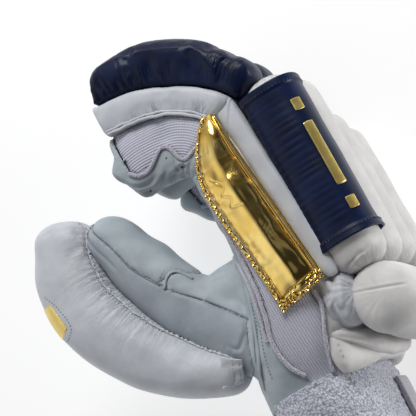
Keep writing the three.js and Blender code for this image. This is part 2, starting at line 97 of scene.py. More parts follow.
def put(material, kind, settings=(), **links):
    """Adds a node. settings are its properties and constant sockets, links the outputs that feed it."""
    node = material.node_tree.nodes.new("ShaderNode" + kind)
    for key, value in dict(settings).items():
        if isinstance(key, int) or key in node.inputs:
            node.inputs[key].default_value = value
        else:
            setattr(node, key, value)
    for key, source in links.items():
        socket = node.inputs[int(key[1:])] if key[0] == "_" and key[1:].isdigit() else node.inputs[key]
        material.node_tree.links.new(source, socket)
    return node


def new_material(name):
    material = bpy.data.materials.new(name)
    material.use_nodes = True
    material.node_tree.nodes.clear()
    return material


def ramp(material, factor, *stops):
    """A colour ramp through (place, colour) stops"""
    node = put(material, "ValToRGB", _0=factor)
    elements = node.color_ramp.elements
    while len(elements) < len(stops):
        elements.new(0.5)
    for element, (place, colour) in zip(elements, stops):
        element.position = place
        element.color = colour if isinstance(colour, list) else [colour] * 3 + [1]
    return node.outputs["Color"]


def finish_off(material, colour, height, strength, distance, **settings):
    """The shader and the output, with a bump from a height in 0..1"""
    bump = put(material, "Bump", {"Strength": strength, "Distance": distance * MM}, Height=height)
    shader = put(material, "BsdfPrincipled", settings)
    links = material.node_tree.links
    if isinstance(colour, list):
        shader.inputs["Base Color"].default_value = colour
    else:
        links.new(colour, shader.inputs["Base Color"])
    links.new(bump.outputs["Normal"], shader.inputs["Normal"])
    out = put(material, "OutputMaterial")
    links.new(shader.outputs["BSDF"], out.inputs["Surface"])
    return shader


# %% [markdown]
# ### How leather is built
# Cells less than a millimetre wide stand for the pores, soft noise for the drift of the dye, and a noise
# stretched away from the seam for the hair-thin creases where a piece is gathered. The bump presses these
# creases in, and painted shade darkens them.

# %% Leather
def leather(name, light, dark, roughness, grain=0.7, depth=0.12, specular=0.5, soft=0.8):
    """Tanned leather: fine closed grain, soft colour drift, and thin creases where a piece says that it is
    gathered, pressed in by the bump and darkened with painted shade. grain is in millimetres. The creases run
    away from the seam, across the piece's UV map."""
    m = new_material(name)
    place = put(m, "TexCoord").outputs["Object"]
    pores = put(m, "TexVoronoi", {"Scale": 1000 / grain, "Randomness": 1.0}, Vector=place)
    hide = put(m, "TexNoise", {"Scale": 1000 / 9, "Detail": 5.0, "Roughness": 0.55}, Vector=place)
    drift = put(m, "TexNoise", {"Scale": 1000 / 34, "Detail": 3.0}, Vector=place)
    fine = put(m, "TexNoise", {"Scale": 1000 / 1.6, "Detail": 3.0}, Vector=place)
    tone = put(m, "Math", {"operation": "MULTIPLY_ADD", 1: 0.6}, _0=drift.outputs["Fac"],
               _2=hide.outputs["Fac"])
    base = ramp(m, tone.outputs[0], (0.6, linear(dark)), (1.0, linear(light)))
    gather = put(m, "Attribute", {"attribute_name": "gather"}).outputs["Fac"]
    uv = put(m, "UVMap", {"uv_map": "weave"}).outputs["UV"]
    pulled = put(m, "Mapping", {"Scale": (0.42, 0.05, 1.0)}, Vector=uv)
    folds = put(m, "TexNoise", {"Scale": 1.0, "Detail": 3.0, "Roughness": 0.6}, Vector=pulled.outputs[0])
    line = put(m, "Math", {"operation": "SUBTRACT", 1: 0.5}, _0=folds.outputs["Fac"])
    line = put(m, "Math", {"operation": "ABSOLUTE"}, _0=line.outputs[0])
    line = put(m, "MapRange", {"From Max": 0.07, "To Min": 1.0, "To Max": 0.0,
                               "interpolation_type": "SMOOTHSTEP"}, Value=line.outputs[0])
    crease = put(m, "Math", {"operation": "MULTIPLY"}, _0=line.outputs[0], _1=gather)
    # painted shade: along the creases the colour is multiplied towards a dark grey
    shade = put(m, "Math", {"operation": "MULTIPLY", 1: 0.55}, _0=crease.outputs[0])
    colour = put(m, "Mix", {"data_type": "RGBA", "blend_type": "MULTIPLY", 7: linear("6f6b72")},
                 _0=shade.outputs[0], _6=base).outputs[2]
    grainy = put(m, "Math", {"operation": "MULTIPLY_ADD", 1: 0.5}, _0=pores.outputs["Distance"],
                 _2=fine.outputs["Fac"])
    height = put(m, "Math", {"operation": "MULTIPLY_ADD", 1: soft}, _0=hide.outputs["Fac"],
                 _2=grainy.outputs[0])
    height = put(m, "Math", {"operation": "MULTIPLY_ADD", 1: -0.55 / depth}, _0=crease.outputs[0],
                 _2=height.outputs[0])
    finish_off(m, colour, height.outputs[0], 0.4, depth, **{
        "Roughness": roughness, "Specular IOR Level": specular})
    return m


# %% [markdown]
# ### Leathers
# The palm is thin aniline sheepskin, soft and matt with a grey-green cast. The back and the rolls are
# white pigmented leather, smoother and a little glossier. The navy covers have the same hide with a
# satin aniline top coat, so they show soft broad highlights.

# %% Leather materials
# pigment covers the hide's own colour: an even white with soft highlights
WHITE_LEATHER = leather("white_pigmented_leather", "d3d1cf", "c4c2c1", 0.5, specular=0.4)
# the same finish with some grey in the pigment, a little cooler and smoother; on the corner of white back
# leather beside the hand roll its grey is painted shade
THUMB_LEATHER = leather("pearl_grey_pigmented_leather", "c9ccd1", "bcbfc6", 0.48, specular=0.4)
# dye alone leaves the pores open: matt, cloudy, with a grain that can be seen
PALM_LEATHER = leather("grey_aniline_sheepskin", "afb9be", "9ea8af", 0.62, grain=0.9, depth=0.16, specular=0.35)
SIDE_LEATHER = leather("mid_grey_aniline_sheepskin", "a3abb2", "949ca5", 0.6, grain=0.9, depth=0.16,
                       specular=0.35)
# dark dye under a thin satin coat: deep colour, and highlights only where it folds
NAVY_LEATHER = leather("navy_satin_leather", "0b1b3e", "07112b", 0.38, grain=0.6, depth=0.06, specular=0.2,
                       soft=0.4)
# brushed cotton: dull, without highlights
LINING = leather("white_cotton_lining", "c4c2c6", "b0aeb4", 0.85, grain=1.2, depth=0.2, specular=0.2)
print("leathers:", len(bpy.data.materials))


# %% [markdown]
# ### Foil leather
# Gold foil is pressed on thin leather, so it mirrors the room like metal but wrinkles like skin. A metal
# with low roughness does that, with a broad soft bump for the dents and a fine one for the grain below. Its
# colour is darker in the dents and paler on the rises, a painted shade that follows the bump.

# %% Foil material
def foil(name, light, dark, roughness):
    m = new_material(name)
    place = put(m, "TexCoord").outputs["Object"]
    dents = put(m, "TexNoise", {"Scale": 1000 / 13, "Detail": 2.0, "Distortion": 0.8}, Vector=place)
    grain = put(m, "TexNoise", {"Scale": 1000 / 1.3, "Detail": 2.0}, Vector=place)
    # painted shade: the colour follows the dents' noise, darker where the bump is low
    colour = ramp(m, dents.outputs["Fac"], (0.3, linear(dark)), (0.7, linear(light)))
    height = put(m, "Math", {"operation": "MULTIPLY_ADD", 1: 0.02}, _0=grain.outputs["Fac"],
                 _2=dents.outputs["Fac"])
    finish_off(m, colour, height.outputs[0], 0.4, 0.8, **{"Metallic": 1.0, "Roughness": roughness})
    return m


GOLD_FOIL = foil("gold_foil_leather", "f6da8a", "dcb458", 0.13)
print("foil:", GOLD_FOIL.name)


# %% [markdown]
# ### Knit, towelling and cord
# The gussets are rib knit. Its ribs follow the piece's own UV map, which is in millimetres, so they run
# along the finger whichever way it bends. A second wave across them is the row of stitches.

# %% Cloth materials
BAND = 2 * math.pi / 20        # scale of the wave texture that gives bands one unit apart


def rib_knit(name, light, dark, rib, stitch):
    m = new_material(name)
    uv = put(m, "UVMap", {"uv_map": "weave"}).outputs["UV"]
    ribs = put(m, "TexWave", {"wave_type": "BANDS", "bands_direction": "Y", "wave_profile": "SIN",
                              "Scale": BAND / rib, "Distortion": 0.35, "Detail": 1.0,
                              "Detail Scale": 0.6}, Vector=uv)
    rows = put(m, "TexWave", {"wave_type": "BANDS", "bands_direction": "X", "wave_profile": "SIN",
                              "Scale": BAND / stitch, "Distortion": 0.5, "Detail": 1.0, "Detail Scale": 1.0},
               Vector=uv)
    fuzz = put(m, "TexNoise", {"Scale": 3.0, "Detail": 4.0}, Vector=uv)
    both = put(m, "Math", {"operation": "MULTIPLY_ADD", 1: 0.28}, _0=rows.outputs["Fac"],
               _2=ribs.outputs["Fac"])
    height = put(m, "Math", {"operation": "MULTIPLY_ADD", 1: 0.25}, _0=fuzz.outputs["Fac"], _2=both.outputs[0])
    # painted shade: the colour is darker where the knit is low, between the ribs and the rows
    colour = ramp(m, both.outputs[0], (0.05, linear(dark)), (0.42, linear(light)))
    finish_off(m, colour, height.outputs[0], 0.7, 0.35, **{
        "Roughness": 0.9, "Sheen Weight": 0.25, "Specular IOR Level": 0.2})
    return m


def pile(name, light, dark, loop, stray=0.9):
    """Looped or twisted cotton: cells of one loop each, in millimetres, darkened with painted shade where the
    cells meet
    """
    m = new_material(name)
    place = put(m, "TexCoord").outputs["Object"]
    loops = put(m, "TexVoronoi", {"Scale": 1000 / loop, "Randomness": stray}, Vector=place)
    fibre = put(m, "TexNoise", {"Scale": 1000 / (loop * 0.4), "Detail": 4.0}, Vector=place)
    height = put(m, "Math", {"operation": "MULTIPLY_ADD", 1: -1.0}, _0=loops.outputs["Distance"],
                 _2=fibre.outputs["Fac"])
    # painted shade: each loop is pale at its middle and dark towards its edges, where the loops meet
    colour = ramp(m, loops.outputs["Distance"], (0.22, linear(light)), (0.72, linear(dark)))
    finish_off(m, colour, height.outputs[0], 0.9, loop * 0.7, **{
        "Roughness": 0.95, "Sheen Weight": 0.4, "Specular IOR Level": 0.15})
    return m


# ribs 1.25 mm apart and rows of stitches 1.1 mm apart, pale on the ribs and shaded between them
KNIT = rib_knit("lilac_white_rib_knit", "c6c6d3", "9192a3", 1.25, 1.1)
# loops about 1 mm wide, bright at their tops and shaded where they meet, with no highlights
TERRY = pile("looped_cotton_towelling", "e6e8f1", "a6a8b8", 1.05, 1.0)
# braided, twisted and woven threads: matt, with the small relief of their strands, and painted shade between
# them
BINDING = pile("braided_cotton_binding", "d6d4de", "b4b1c0", 0.7)
THREAD = pile("white_sewing_thread", "c9c8ce", "a5a4ae", 0.5)
STRAP = pile("woven_hook_and_loop_strap", "d2d0d6", "b0adb8", 0.6)
NAVY_THREAD = pile("navy_sewing_thread", "2a345a", "10162c", 0.5)
# the shadow in a punched hole, and thread sunk into grey leather: flat dark tones
DARK_HOLE = leather("punched_hole_shadow", "5c636c", "474d57", 0.9)
SEWN = leather("grey_sunk_thread", "7f868f", "70777f", 0.8)
print("materials:", len(bpy.data.materials))

# %% [markdown]
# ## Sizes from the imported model
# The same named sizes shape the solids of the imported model, in millimetres. A finger's middle line is a
# straight part, a bend at the middle joint and the curl of the end part.

# %% Finger lines
PITCH, LOWEST, FINGER_X, FINGER_START, BEND = 29, 14, -2, 22, 22
GAP = 0.35


class Finger:
    """One finger: its place up from the little finger, the lengths of its parts and the size of its stall"""

    def __init__(self, name, rank, run, turn, tip_radius, tip_turn, deep, wide):
        self.name, self.rank, self.run, self.tip_radius = name, rank, run, tip_radius
        self.deep, self.wide = deep, wide
        self.z = LOWEST + PITCH * rank
        self.turn = math.radians(turn)
        self.curl = run + BEND * self.turn
        self.length = self.curl + tip_radius * math.radians(tip_turn)
        self.centre = np.array([FINGER_X - BEND, FINGER_START + run])
        way = np.array([math.cos(self.turn), math.sin(self.turn)])
        self.tip_centre = self.centre + (BEND - tip_radius) * way

    def place(self, t, out, side):
        """The point t along the middle line, out towards the back and side up"""
        t, out, side = np.broadcast_arrays(*(np.asarray(a, float) for a in (t, out, side)))
        angle = np.clip((t - self.run) / BEND, 0, self.turn)
        angle = angle + np.clip((t - self.curl) / self.tip_radius, 0, None)
        c, s = np.cos(angle), np.sin(angle)
        bend = t > self.run
        tip = t > self.curl
        cx = np.where(tip, self.tip_centre[0], np.where(bend, self.centre[0], FINGER_X))
        cy = np.where(tip, self.tip_centre[1], np.where(bend, self.centre[1], FINGER_START + t))
        radius = np.where(tip, self.tip_radius, np.where(bend, BEND, 0)) + out
        return np.stack([cx + radius * c, cy + radius * s, self.z + side], -1)

    def local(self, p):
        """t, out and side of points"""
        x, y = p[:, 0], p[:, 1]
        phi = np.arctan2(y - self.centre[1], x - self.centre[0])
        tip = np.arctan2(y - self.tip_centre[1], x - self.tip_centre[0])
        straight = y < self.centre[1]
        bend = phi < self.turn
        t = np.where(straight, y - FINGER_START, np.where(
            bend, self.run + BEND * phi, self.curl + self.tip_radius * (tip - self.turn)))
        out = np.where(straight, x - FINGER_X, np.where(
            bend, np.hypot(*(p[:, :2] - self.centre).T) - BEND,
            np.hypot(*(p[:, :2] - self.tip_centre).T) - self.tip_radius))
        return t, out, p[:, 2] - self.z

    def flank(self, out):
        """Half width of the stall at a height out"""
        return self.wide * (1 - np.minimum(np.abs(out / self.deep), 1) ** STALL_POWER) ** (1 / STALL_POWER)


STALL_POWER = 2.6
FINGERS = [
    Finger("index", 3, 44, 80, 90, 18, 17, 12.4),
    Finger("middle", 2, 46, 84, 60, 26, 17, 12.4),
    Finger("ring", 1, 31, 86, 48, 24, 16.5, 12.4),
    Finger("little", 0, 27, 88, 42, 18, 15, 11.8),
]
INDEX = FINGERS[0]
print("lengths of the middle lines:", [round(f.length) for f in FINGERS])


# %% [markdown]
# ## Helpers for shapes
# Most pieces are tubes, so one function rolls a grid into a tube and asks for the place of each point.
# Tables of sizes are read through a smooth line, as a fairing batten would draw it.

# %% Lines and sections
def through(xs, ys, x):
    """A smooth line through a table's points, read at x"""
    xs, ys = np.asarray(xs, float), np.asarray(ys, float)
    slope = np.gradient(ys, xs)
    i = np.clip(np.searchsorted(xs, x) - 1, 0, len(xs) - 2)
    step = xs[i + 1] - xs[i]
    t = np.clip((x - xs[i]) / step, 0, 1)
    return ((1 + 2 * t) * (1 - t) ** 2 * ys[i] + t * (1 - t) ** 2 * step * slope[i]
            + t * t * (3 - 2 * t) * ys[i + 1] + t * t * (t - 1) * step * slope[i + 1])


def oval(around, power):
    """Two unit coordinates round a superellipse"""
    angle = 2 * math.pi * around
    c, s = np.cos(angle), np.sin(angle)
    return np.sign(c) * np.abs(c) ** (2 / power), np.sign(s) * np.abs(s) ** (2 / power)


def dome(at, low, high, reach, power=2.3):
    """Share of full size along a form with rounded ends"""
    near = np.clip(np.minimum(at - low, high - at) / reach, 0, 1)
    return (1 - (1 - near) ** power) ** (1 / power)


def spread(s):
    """Moves evenly spaced shares towards both ends, where domes need more rows"""
    return s - np.sin(2 * math.pi * s) / (2 * math.pi) * 0.75


# %% [markdown]
# ### Tubes from a grid
# A grid is rolled up: each of its points goes where a place function says, for its share along and its
# share round. That gives each piece even faces and a UV map from a few named sizes, with no list of
# points. A closed tube has its doubled seam merged and its normals turned out.


# %% Surfaces
def link(name, mesh, *materials):
    obj = bpy.data.objects.new(name, mesh)
    scene.collection.objects.link(obj)
    for m in materials:
        mesh.materials.append(m)
    mesh.shade_smooth()
    return obj


def surface(name, along, around, place, material, closed=True, ends="fill"):
    """A grid whose points are put where place(s, a) says, in mm. s runs along 0..1 and a round 0..1.
    A closed one is a tube, whose ends are filled or, where it turns back inside itself, bridged."""
    bm = bmesh.new()
    bm.loops.layers.uv.new("weave")
    bmesh.ops.create_grid(bm, x_segments=along, y_segments=around, size=0.5, calc_uvs=True)
    co = np.array([v.co for v in bm.verts])
    points = place(co[:, 0] + 0.5, co[:, 1] + 0.5) * MM
    for v, p in zip(bm.verts, points):
        v.co = p
    if closed:
        bmesh.ops.remove_doubles(bm, verts=bm.verts, dist=2e-6)
        rim = [e for e in bm.edges if e.is_boundary]
        if rim and ends == "fill":
            bmesh.ops.holes_fill(bm, edges=rim, sides=0)
        elif rim:
            bmesh.ops.bridge_loops(bm, edges=rim)
        bmesh.ops.recalc_face_normals(bm, faces=bm.faces)
    mesh = bpy.data.meshes.new(name)
    bm.to_mesh(mesh)
    bm.free()
    return link(name, mesh, material)


# %% [markdown]
# ### Points, modifiers and joins
# numpy moves all the points of a mesh at once, which keeps thousands of creases quick. Modifiers are
# applied straight away, because the next step works on the net that they leave.


# %% Mesh helpers
def points_of(obj):
    co = np.empty(len(obj.data.vertices) * 3)
    obj.data.vertices.foreach_get("co", co)
    return co.reshape(-1, 3) / MM


def set_points(obj, points):
    obj.data.vertices.foreach_set("co", (points * MM).ravel())
    obj.data.update()


def normals_of(obj):
    n = np.empty(len(obj.data.vertices) * 3, np.float32)
    obj.data.vertex_normals.foreach_get("vector", n)
    return n.reshape(-1, 3).astype(float)


def bake(obj):
    """Applies an object's modifiers"""
    graph = bpy.context.evaluated_depsgraph_get()
    mesh = bpy.data.meshes.new_from_object(obj.evaluated_get(graph))
    obj.modifiers.clear()
    old = obj.data
    obj.data = mesh
    bpy.data.meshes.remove(old)
    obj.data.shade_smooth()
    return obj


def modify(obj, kind, **settings):
    m = obj.modifiers.new(kind.lower(), kind)
    for key, value in settings.items():
        setattr(m, key, value)
    return m


def thin_out(obj, share):
    """Merges faces where a form is nearly flat, until a share of them is left. Creases keep theirs."""
    if share < 1:
        modify(obj, "DECIMATE", ratio=share)
        bake(obj)
    return obj


def join(name, objects):
    """One object from several"""
    bm = bmesh.new()
    for obj in objects:
        bm.from_mesh(obj.data)
        bpy.data.objects.remove(obj)
    mesh = bpy.data.meshes.new(name)
    bm.to_mesh(mesh)
    bm.free()
    return link(name, mesh)


# %% [markdown]
# ### Random waves
# Leather never folds evenly. A sum of a few sines from a seeded generator gives soft random lines and
# fields of a chosen size, and the same ones in each run.


# %% Random waves
def wander(x, seed, size):
    """A smooth random line in -1..1, with waves about size long"""
    rng = np.random.default_rng(seed)
    total = sum(np.sin(x / size * k + p) for k, p in zip((2.1, 3.7, 5.9), rng.uniform(0, 6.28, 3)))
    return total / 2.2


def mottle(p, seed, size):
    """A smooth random field in about -1..1, with lumps about size wide"""
    rng = np.random.default_rng(seed)
    total = 0
    for _ in range(6):
        way = rng.normal(size=3)
        way *= 2 * math.pi / size * rng.uniform(0.6, 1.5) / np.linalg.norm(way)
        total = total + np.sin(p @ way + rng.uniform(0, 6.28))
    return total / 2.6


# %% [markdown]
# ### Lines on the glove
# Seams, cords, folds and rows of stitches all follow a line. It is drawn smoothly through a few points,
# and can then be walked by its length, or asked how near it is to other points.


# %% Path
class Path:
    """A smooth line through points, walked by length in mm"""

    def __init__(self, points, normals=None, steps=400):
        points = np.asarray(points, float)
        knots = np.concatenate([[0], np.cumsum(np.linalg.norm(np.diff(points, axis=0), axis=1))])
        fine = np.linspace(0, knots[-1], steps)
        self.points = np.stack([through(knots, points[:, k], fine) for k in range(points.shape[1])], -1)
        self.at = np.concatenate([[0], np.cumsum(np.linalg.norm(np.diff(self.points, axis=0), axis=1))])
        self.length = self.at[-1]
        self.normals = None
        if normals is not None:
            n = np.stack([np.interp(fine, knots, np.asarray(normals, float)[:, k]) for k in range(3)], -1)
            self.normals = n / np.linalg.norm(n, axis=1)[:, None]

    def read(self, s, values=None):
        values = self.points if values is None else values
        return np.stack([np.interp(s, self.at, values[:, k]) for k in range(values.shape[1])], -1)

    def tangent(self, s):
        d = self.read(np.asarray(s) + 0.4) - self.read(np.asarray(s) - 0.4)
        return d / np.maximum(np.linalg.norm(d, axis=-1), 1e-9)[..., None]

    def nearest(self, p):
        """Length along, and distance from, the line for points"""
        along, gap = np.empty(len(p)), np.empty(len(p))
        for i in range(0, len(p), 4000):
            part = p[i:i + 4000, None, :self.points.shape[1]] - self.points[None, ::2]
            d = np.linalg.norm(part, axis=2)
            k = d.argmin(1)
            along[i:i + 4000], gap[i:i + 4000] = self.at[::2][k], d[np.arange(len(k)), k]
        return along, gap


# %% [markdown]
# ### Cords, frills and stitches
# Cords and welts are thin tubes along a path. A frill is a ribbon that waves as it goes, as gathered
# leather does beside its seam. A stitch is a short grain of thread, kept to two dozen faces because
# there are hundreds.


# %% Trim makers
TUBE_STEP = 1.2      # mm of cord to each row of faces
FRILL_ROWS = 8       # rows of faces to each wave of a frill


def along_path(path, at):
    """Centre, sideways and upwards directions of a path at the lengths at"""
    centre, way = path.read(at), path.tangent(at)
    up = path.read(at, path.normals) if path.normals is not None else np.array([0, 0, 1.0])
    side = np.cross(way, np.broadcast_to(up, way.shape))
    side /= np.maximum(np.linalg.norm(side, axis=1), 1e-9)[:, None]
    return centre, side, np.cross(side, way)


def tube(name, path, radius, material, sides=10, flat=1.0):
    """A cord or a flat strip along a path. flat is its height over its width."""
    def place(s, a):
        at = spread(s) * path.length
        c, v = oval(a, 2)
        centre, side, up = along_path(path, at)
        size = radius * dome(at, 0, path.length, radius * 1.2, 2)
        return centre + side * (c * size)[:, None] + up * (v * size * flat)[:, None]

    return surface(name, max(6, int(path.length / TUBE_STEP)), sides, place, material)


def frill(name, path, half, thick, period, sway, material, seed=1, lift=0.5):
    """A gathered ribbon sewn down along a path, waving up and sideways as it goes"""
    def place(s, a):
        at = s * path.length
        centre, side, up = along_path(path, at)
        phase = 2 * math.pi * at / period + 2.6 * wander(at, seed, 3 * period)
        strength = np.clip(0.6 + 0.6 * wander(at, seed + 1, 2.5 * period), 0.1, 1.1)
        turn = np.sin(phase) * strength
        c, v = oval(a, 2.4)
        size = dome(at, 0, path.length, 1.0)
        wide, high = c * half * size, v * thick * size
        across = wide * np.cos(turn) - high * np.sin(turn) + 0.5 * sway * np.cos(phase / 2 + seed)
        rise = lift + sway * strength * np.sin(phase) + wide * np.sin(turn) + high * np.cos(turn)
        return centre + side * across[:, None] + up * rise[:, None]

    return surface(name, int(path.length / period * FRILL_ROWS), 8, place, material)


def stitches(name, path, pitch, length, radius, material, lift=0.1):
    """A row of thread stitches along a path: short rounded grains of two dozen faces"""
    bm = bmesh.new()
    for at in np.arange(pitch / 2, path.length, pitch):
        way = Vector(path.tangent(at))
        up = Vector(path.read(at, path.normals)) if path.normals is not None else Vector((0, 0, 1))
        side = way.cross(up).normalized()
        up = side.cross(way)
        centre = Vector(path.read(at)) + up * lift
        bmesh.ops.create_uvsphere(
            bm, u_segments=6, v_segments=4, radius=1,
            matrix=Matrix.Translation(centre * MM) @ Matrix((way, side, up)).transposed().to_4x4()
            @ Matrix.Diagonal((length / 2 * MM, radius * MM, radius * MM, 1)))
    mesh = bpy.data.meshes.new(name)
    bm.to_mesh(mesh)
    bm.free()
    return link(name, mesh, material)


# %% [markdown]
# ### Creases
# Where padding is sewn down, the leather gathers into creases square to the seam. The large ones are
# pressed into the mesh. The hair-thin ones are left to the material, which presses them in with its bump
# and darkens them with painted shade. It needs to know how far along and away from the seam each point is,
# and how strongly the leather is pulled there.


# %% Creases
def tag(obj, along, gap, strength):
    """Gives a piece the UV map and the mask that the fine creases of the leather, and their painted shade,
    follow
    """
    mesh = obj.data
    layer = mesh.uv_layers.get("weave") or mesh.uv_layers.new(name="weave")
    corner = np.empty(len(mesh.loops), np.int32)
    mesh.loops.foreach_get("vertex_index", corner)
    layer.data.foreach_set("uv", np.stack([along, gap], -1)[corner].ravel())
    mask = mesh.attributes.get("gather") or mesh.attributes.new("gather", "FLOAT", "POINT")
    mask.data.foreach_set("value", np.clip(strength, 0, 1).astype(np.float32))


def gathers(along, gap, seed, period, reach, depth):
    """Creases square to a seam, deepest at it: along runs with the seam and gap away from it, in mm"""
    phase = 2 * math.pi * along / period + 1.6 * wander(along, seed, period * 3)
    phase = phase + 0.5 * wander(gap, seed + 1, 5)
    strength = 0.55 + 0.45 * wander(along, seed + 2, period * 2.2)
    far = reach * (0.75 + 0.5 * wander(along, seed + 3, period * 1.4))
    return -depth * strength * (0.5 + 0.5 * np.cos(phase)) ** 2 * np.exp(-gap / np.maximum(far, 1))


# %% [markdown]
# ### Handing a piece over
# Each piece rides on the one body of the model, takes its finish from a slot of the record and, where
# it stands for a plain solid, hides that solid. A padded piece also says how full it is.


# %% Hand a piece to the frame
def settle(obj, node=None):
    """Hands a finished piece to the frame"""
    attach(obj, "root")
    if node:
        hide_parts(*([node] if isinstance(node, str) else node))
    wide, deep, high = np.ptp(points_of(obj), axis=0)
    print(f"{obj.name}: {wide:.0f} x {deep:.0f} x {high:.0f} mm")
    return obj


# %% [markdown]
# ## The hand of the glove
# Palm, thumb, web and finger stalls are one continuous skin on the real glove, sewn from flat panels.
# Modelling them as one closed form first gives soft crotches between the fingers. Closed tubes are
# merged by a voxel remesh, relaxed, flattened where the glove lies, and opened at the wrist.

# %% Forms of the hand
WRIST_Y = -44        # where the skin ends, just inside the cuff
PALM_ROWS = np.array([
    # y, palm face, back face, low edge, high edge
    (-60, -46, 10, 6, 105), (-44, -46, 10, 6, 105), (-28, -43, 17, 0, 111.5), (-6, -34, 18, -2.5, 115),
    (22, -23, 17, -2.5, 115.5), (46, -20, 15.5, -0.5, 114.5), (50, -20, 15.5, -0.5, 114.5),
])
THUMB_Z = 94
THUMB_ROWS = np.array([
    # x, y, half depth, half width
    (-21, -26, 15, 14), (-38, -3, 15.5, 14.5), (-52, 19, 16, 14), (-62, 41, 15.5, 13.8),
    (-69, 59, 13.4, 13.2), (-73.2, 70, 12, 12.2), (-75.6, 76.2, 11.2, 11.2),
])


def palm_place(s, a):
    y = -58 + 107 * s
    palm, back, low, high = (through(PALM_ROWS[:, 0], PALM_ROWS[:, k], y) for k in (1, 2, 3, 4))
    c, v = oval(a, 3)
    size = dome(y, -60, 49.5, 5)
    return np.stack([(palm + back) / 2 + c * (back - palm) / 2 * size, y,
                     (low + high) / 2 + v * (high - low) / 2 * size], -1)


def web_place(s, a):
    x = -2 - 48 * s
    half = np.interp(-x, (6, 24, 48), (15, 14, 11))
    c, v = oval(a, 2.2)
    size = dome(x, -50, 4, 5)
    y = np.interp(-x, (6, 24, 48), (12, 12.5, 15))
    return np.stack([x, y + c * half * size, THUMB_Z + v * 9.5 * size], -1)


def thumb_like(rows, first, last, power):
    """A form along a line in the thumb's plane; its ends are rounded over the lengths first and last"""
    path = Path(rows[:, :2])
    knots = np.array([path.nearest(rows[i:i + 1, :2])[0][0] for i in range(len(rows))])

    def place(s, a):
        at = spread(s) * path.length
        centre, way = path.read(at), path.tangent(at)
        deep, wide = through(knots, rows[:, 2], at), through(knots, rows[:, 3], at)
        c, v = oval(a, power)
        size = dome(at, 0, 999, first) * dome(at, -999, path.length, last)
        across = np.stack([-way[:, 1], way[:, 0]], -1) * (c * deep * size)[:, None]
        return np.column_stack([centre + across, THUMB_Z + v * wide * size])

    return place


def stall_place(finger):
    def place(s, a):
        t = -8 + (finger.length + 13) * s
        c, v = oval(a, STALL_POWER)
        size = dome(t, -8.2, finger.length + 5.2, 11)
        return finger.place(t, c * finger.deep * size, v * finger.wide * size)
    return place


# %% [markdown]
# ### Joining the forms
# A voxel remesh melts the overlapping tubes into one closed net of even faces, and a few rounds of
# smoothing soften the places where they meet.

# %% Join the forms of the hand
forms = [
    surface("palm_form", 60, 90, palm_place, None),
    surface("web_form", 30, 40, web_place, None),
    surface("thumb_form", 70, 48, thumb_like(THUMB_ROWS, 10, 10, 2.3), None),
] + [surface(f.name + "_form", 90, 40, stall_place(f), None) for f in FINGERS]
skin = join("hand_skin", forms)
SKIN_VOXEL, SKIN_SMOOTHING = 1.3, 7
modify(skin, "REMESH", mode="VOXEL", voxel_size=SKIN_VOXEL * MM)
modify(skin, "SMOOTH", factor=0.5, iterations=SKIN_SMOOTHING)
bake(skin)
print("hand skin:", len(skin.data.vertices), "points")

# %% [markdown]
# ## Where the panels meet
# The seams are level lines of simple functions: the distance from a polygon, or a height over a finger's
# middle line. The skin is cut exactly along each line, so every panel has a clean edge.

# %% Outlines of the panels
PALM_SEAM = np.array([
    # y, x
    (-80, -14), (-39, -15.8), (-34, -18.4), (-28, -19.6), (-23, -20.1), (-15.5, -19.1), (-8.8, -16.8),
    (-2, -15), (4.3, -13.9), (14.7, -13.7), (25, -15.2), (34.5, -16.8), (41, -16.6), (56, -16.6),
])
# outlines seen from the thumb side, x and y of each corner
THUMB_SIDE = [(-75.4, 73.6), (-69.1, 59.4), (-65.2, 46.5), (-53.6, 28.3), (-40.3, 14.6), (-27, -2),
              (-36, -24), (-70, -40), (-140, 0), (-140, 110), (-76, 110)]
THUMB_PAD = [(-75.4, 73.6), (-69.1, 59.4), (-65.2, 46.5), (-56.5, 32.85), (-52.5, 33.5), (-46, 34), (-36, 27),
             (-44, 47), (-52.5, 66), (-60, 84), (-66, 100), (-76, 100)]
HAND_KNIT = [(-30, 70), (2, 70), (2, 6), (7, -7), (7.8, -11), (6, -18), (4, -23), (2.3, -28.5), (1.3, -36),
             (-0.5, -44), (-1, -60), (-30, -60)]
WAVE = np.array([
    # along the index finger, height of the knit's lower edge
    (24, -14.6), (34, -14.8), (42, -14), (47, -12), (50, -6), (52.5, -1), (55.5, -0.5), (57.2, -3.4),
    (59.4, -7.6), (61.5, -9.3), (64, -9.7), (67, -9), (69.5, -7.4), (71.8, -4.8), (74.3, -2.9),
    (77.1, -2.6), (80.2, -4.7), (84.9, -8), (90.7, -9.4), (95.9, -7), (98.6, -2.8), (100.5, 1.5),
    (103, 4.8), (106, 5.6), (110, 5.6),
])
WALL_EDGES = np.array([
    # share along a distal roll, the wall's lower and upper edges over the stall's half depth
    (0, -6, 7.7), (0.2, -6.8, 7.2), (0.38, -6, 7.4), (0.5, -4.9, 9.6), (0.6, -4.1, 11.2), (0.84, -2.6, 13),
    (1, -1.4, 15.4),
])


KNIT_FROM = 24       # mm along a finger from which its sides are knit
KNIT_STOP = 6.2      # the knit ends this far before a finger's tip, where the palm leather folds up
HEEL = 17            # the thumb's panels end this far below the thumb's plane

# %% [markdown]
# ### Rules for the seams
# A rule is a function that is positive on one side of a seam and negative on the other, and nearly a
# distance in millimetres close to it. Each finger's rules are given in its own coordinates, so one rule
# serves fingers of four lengths.


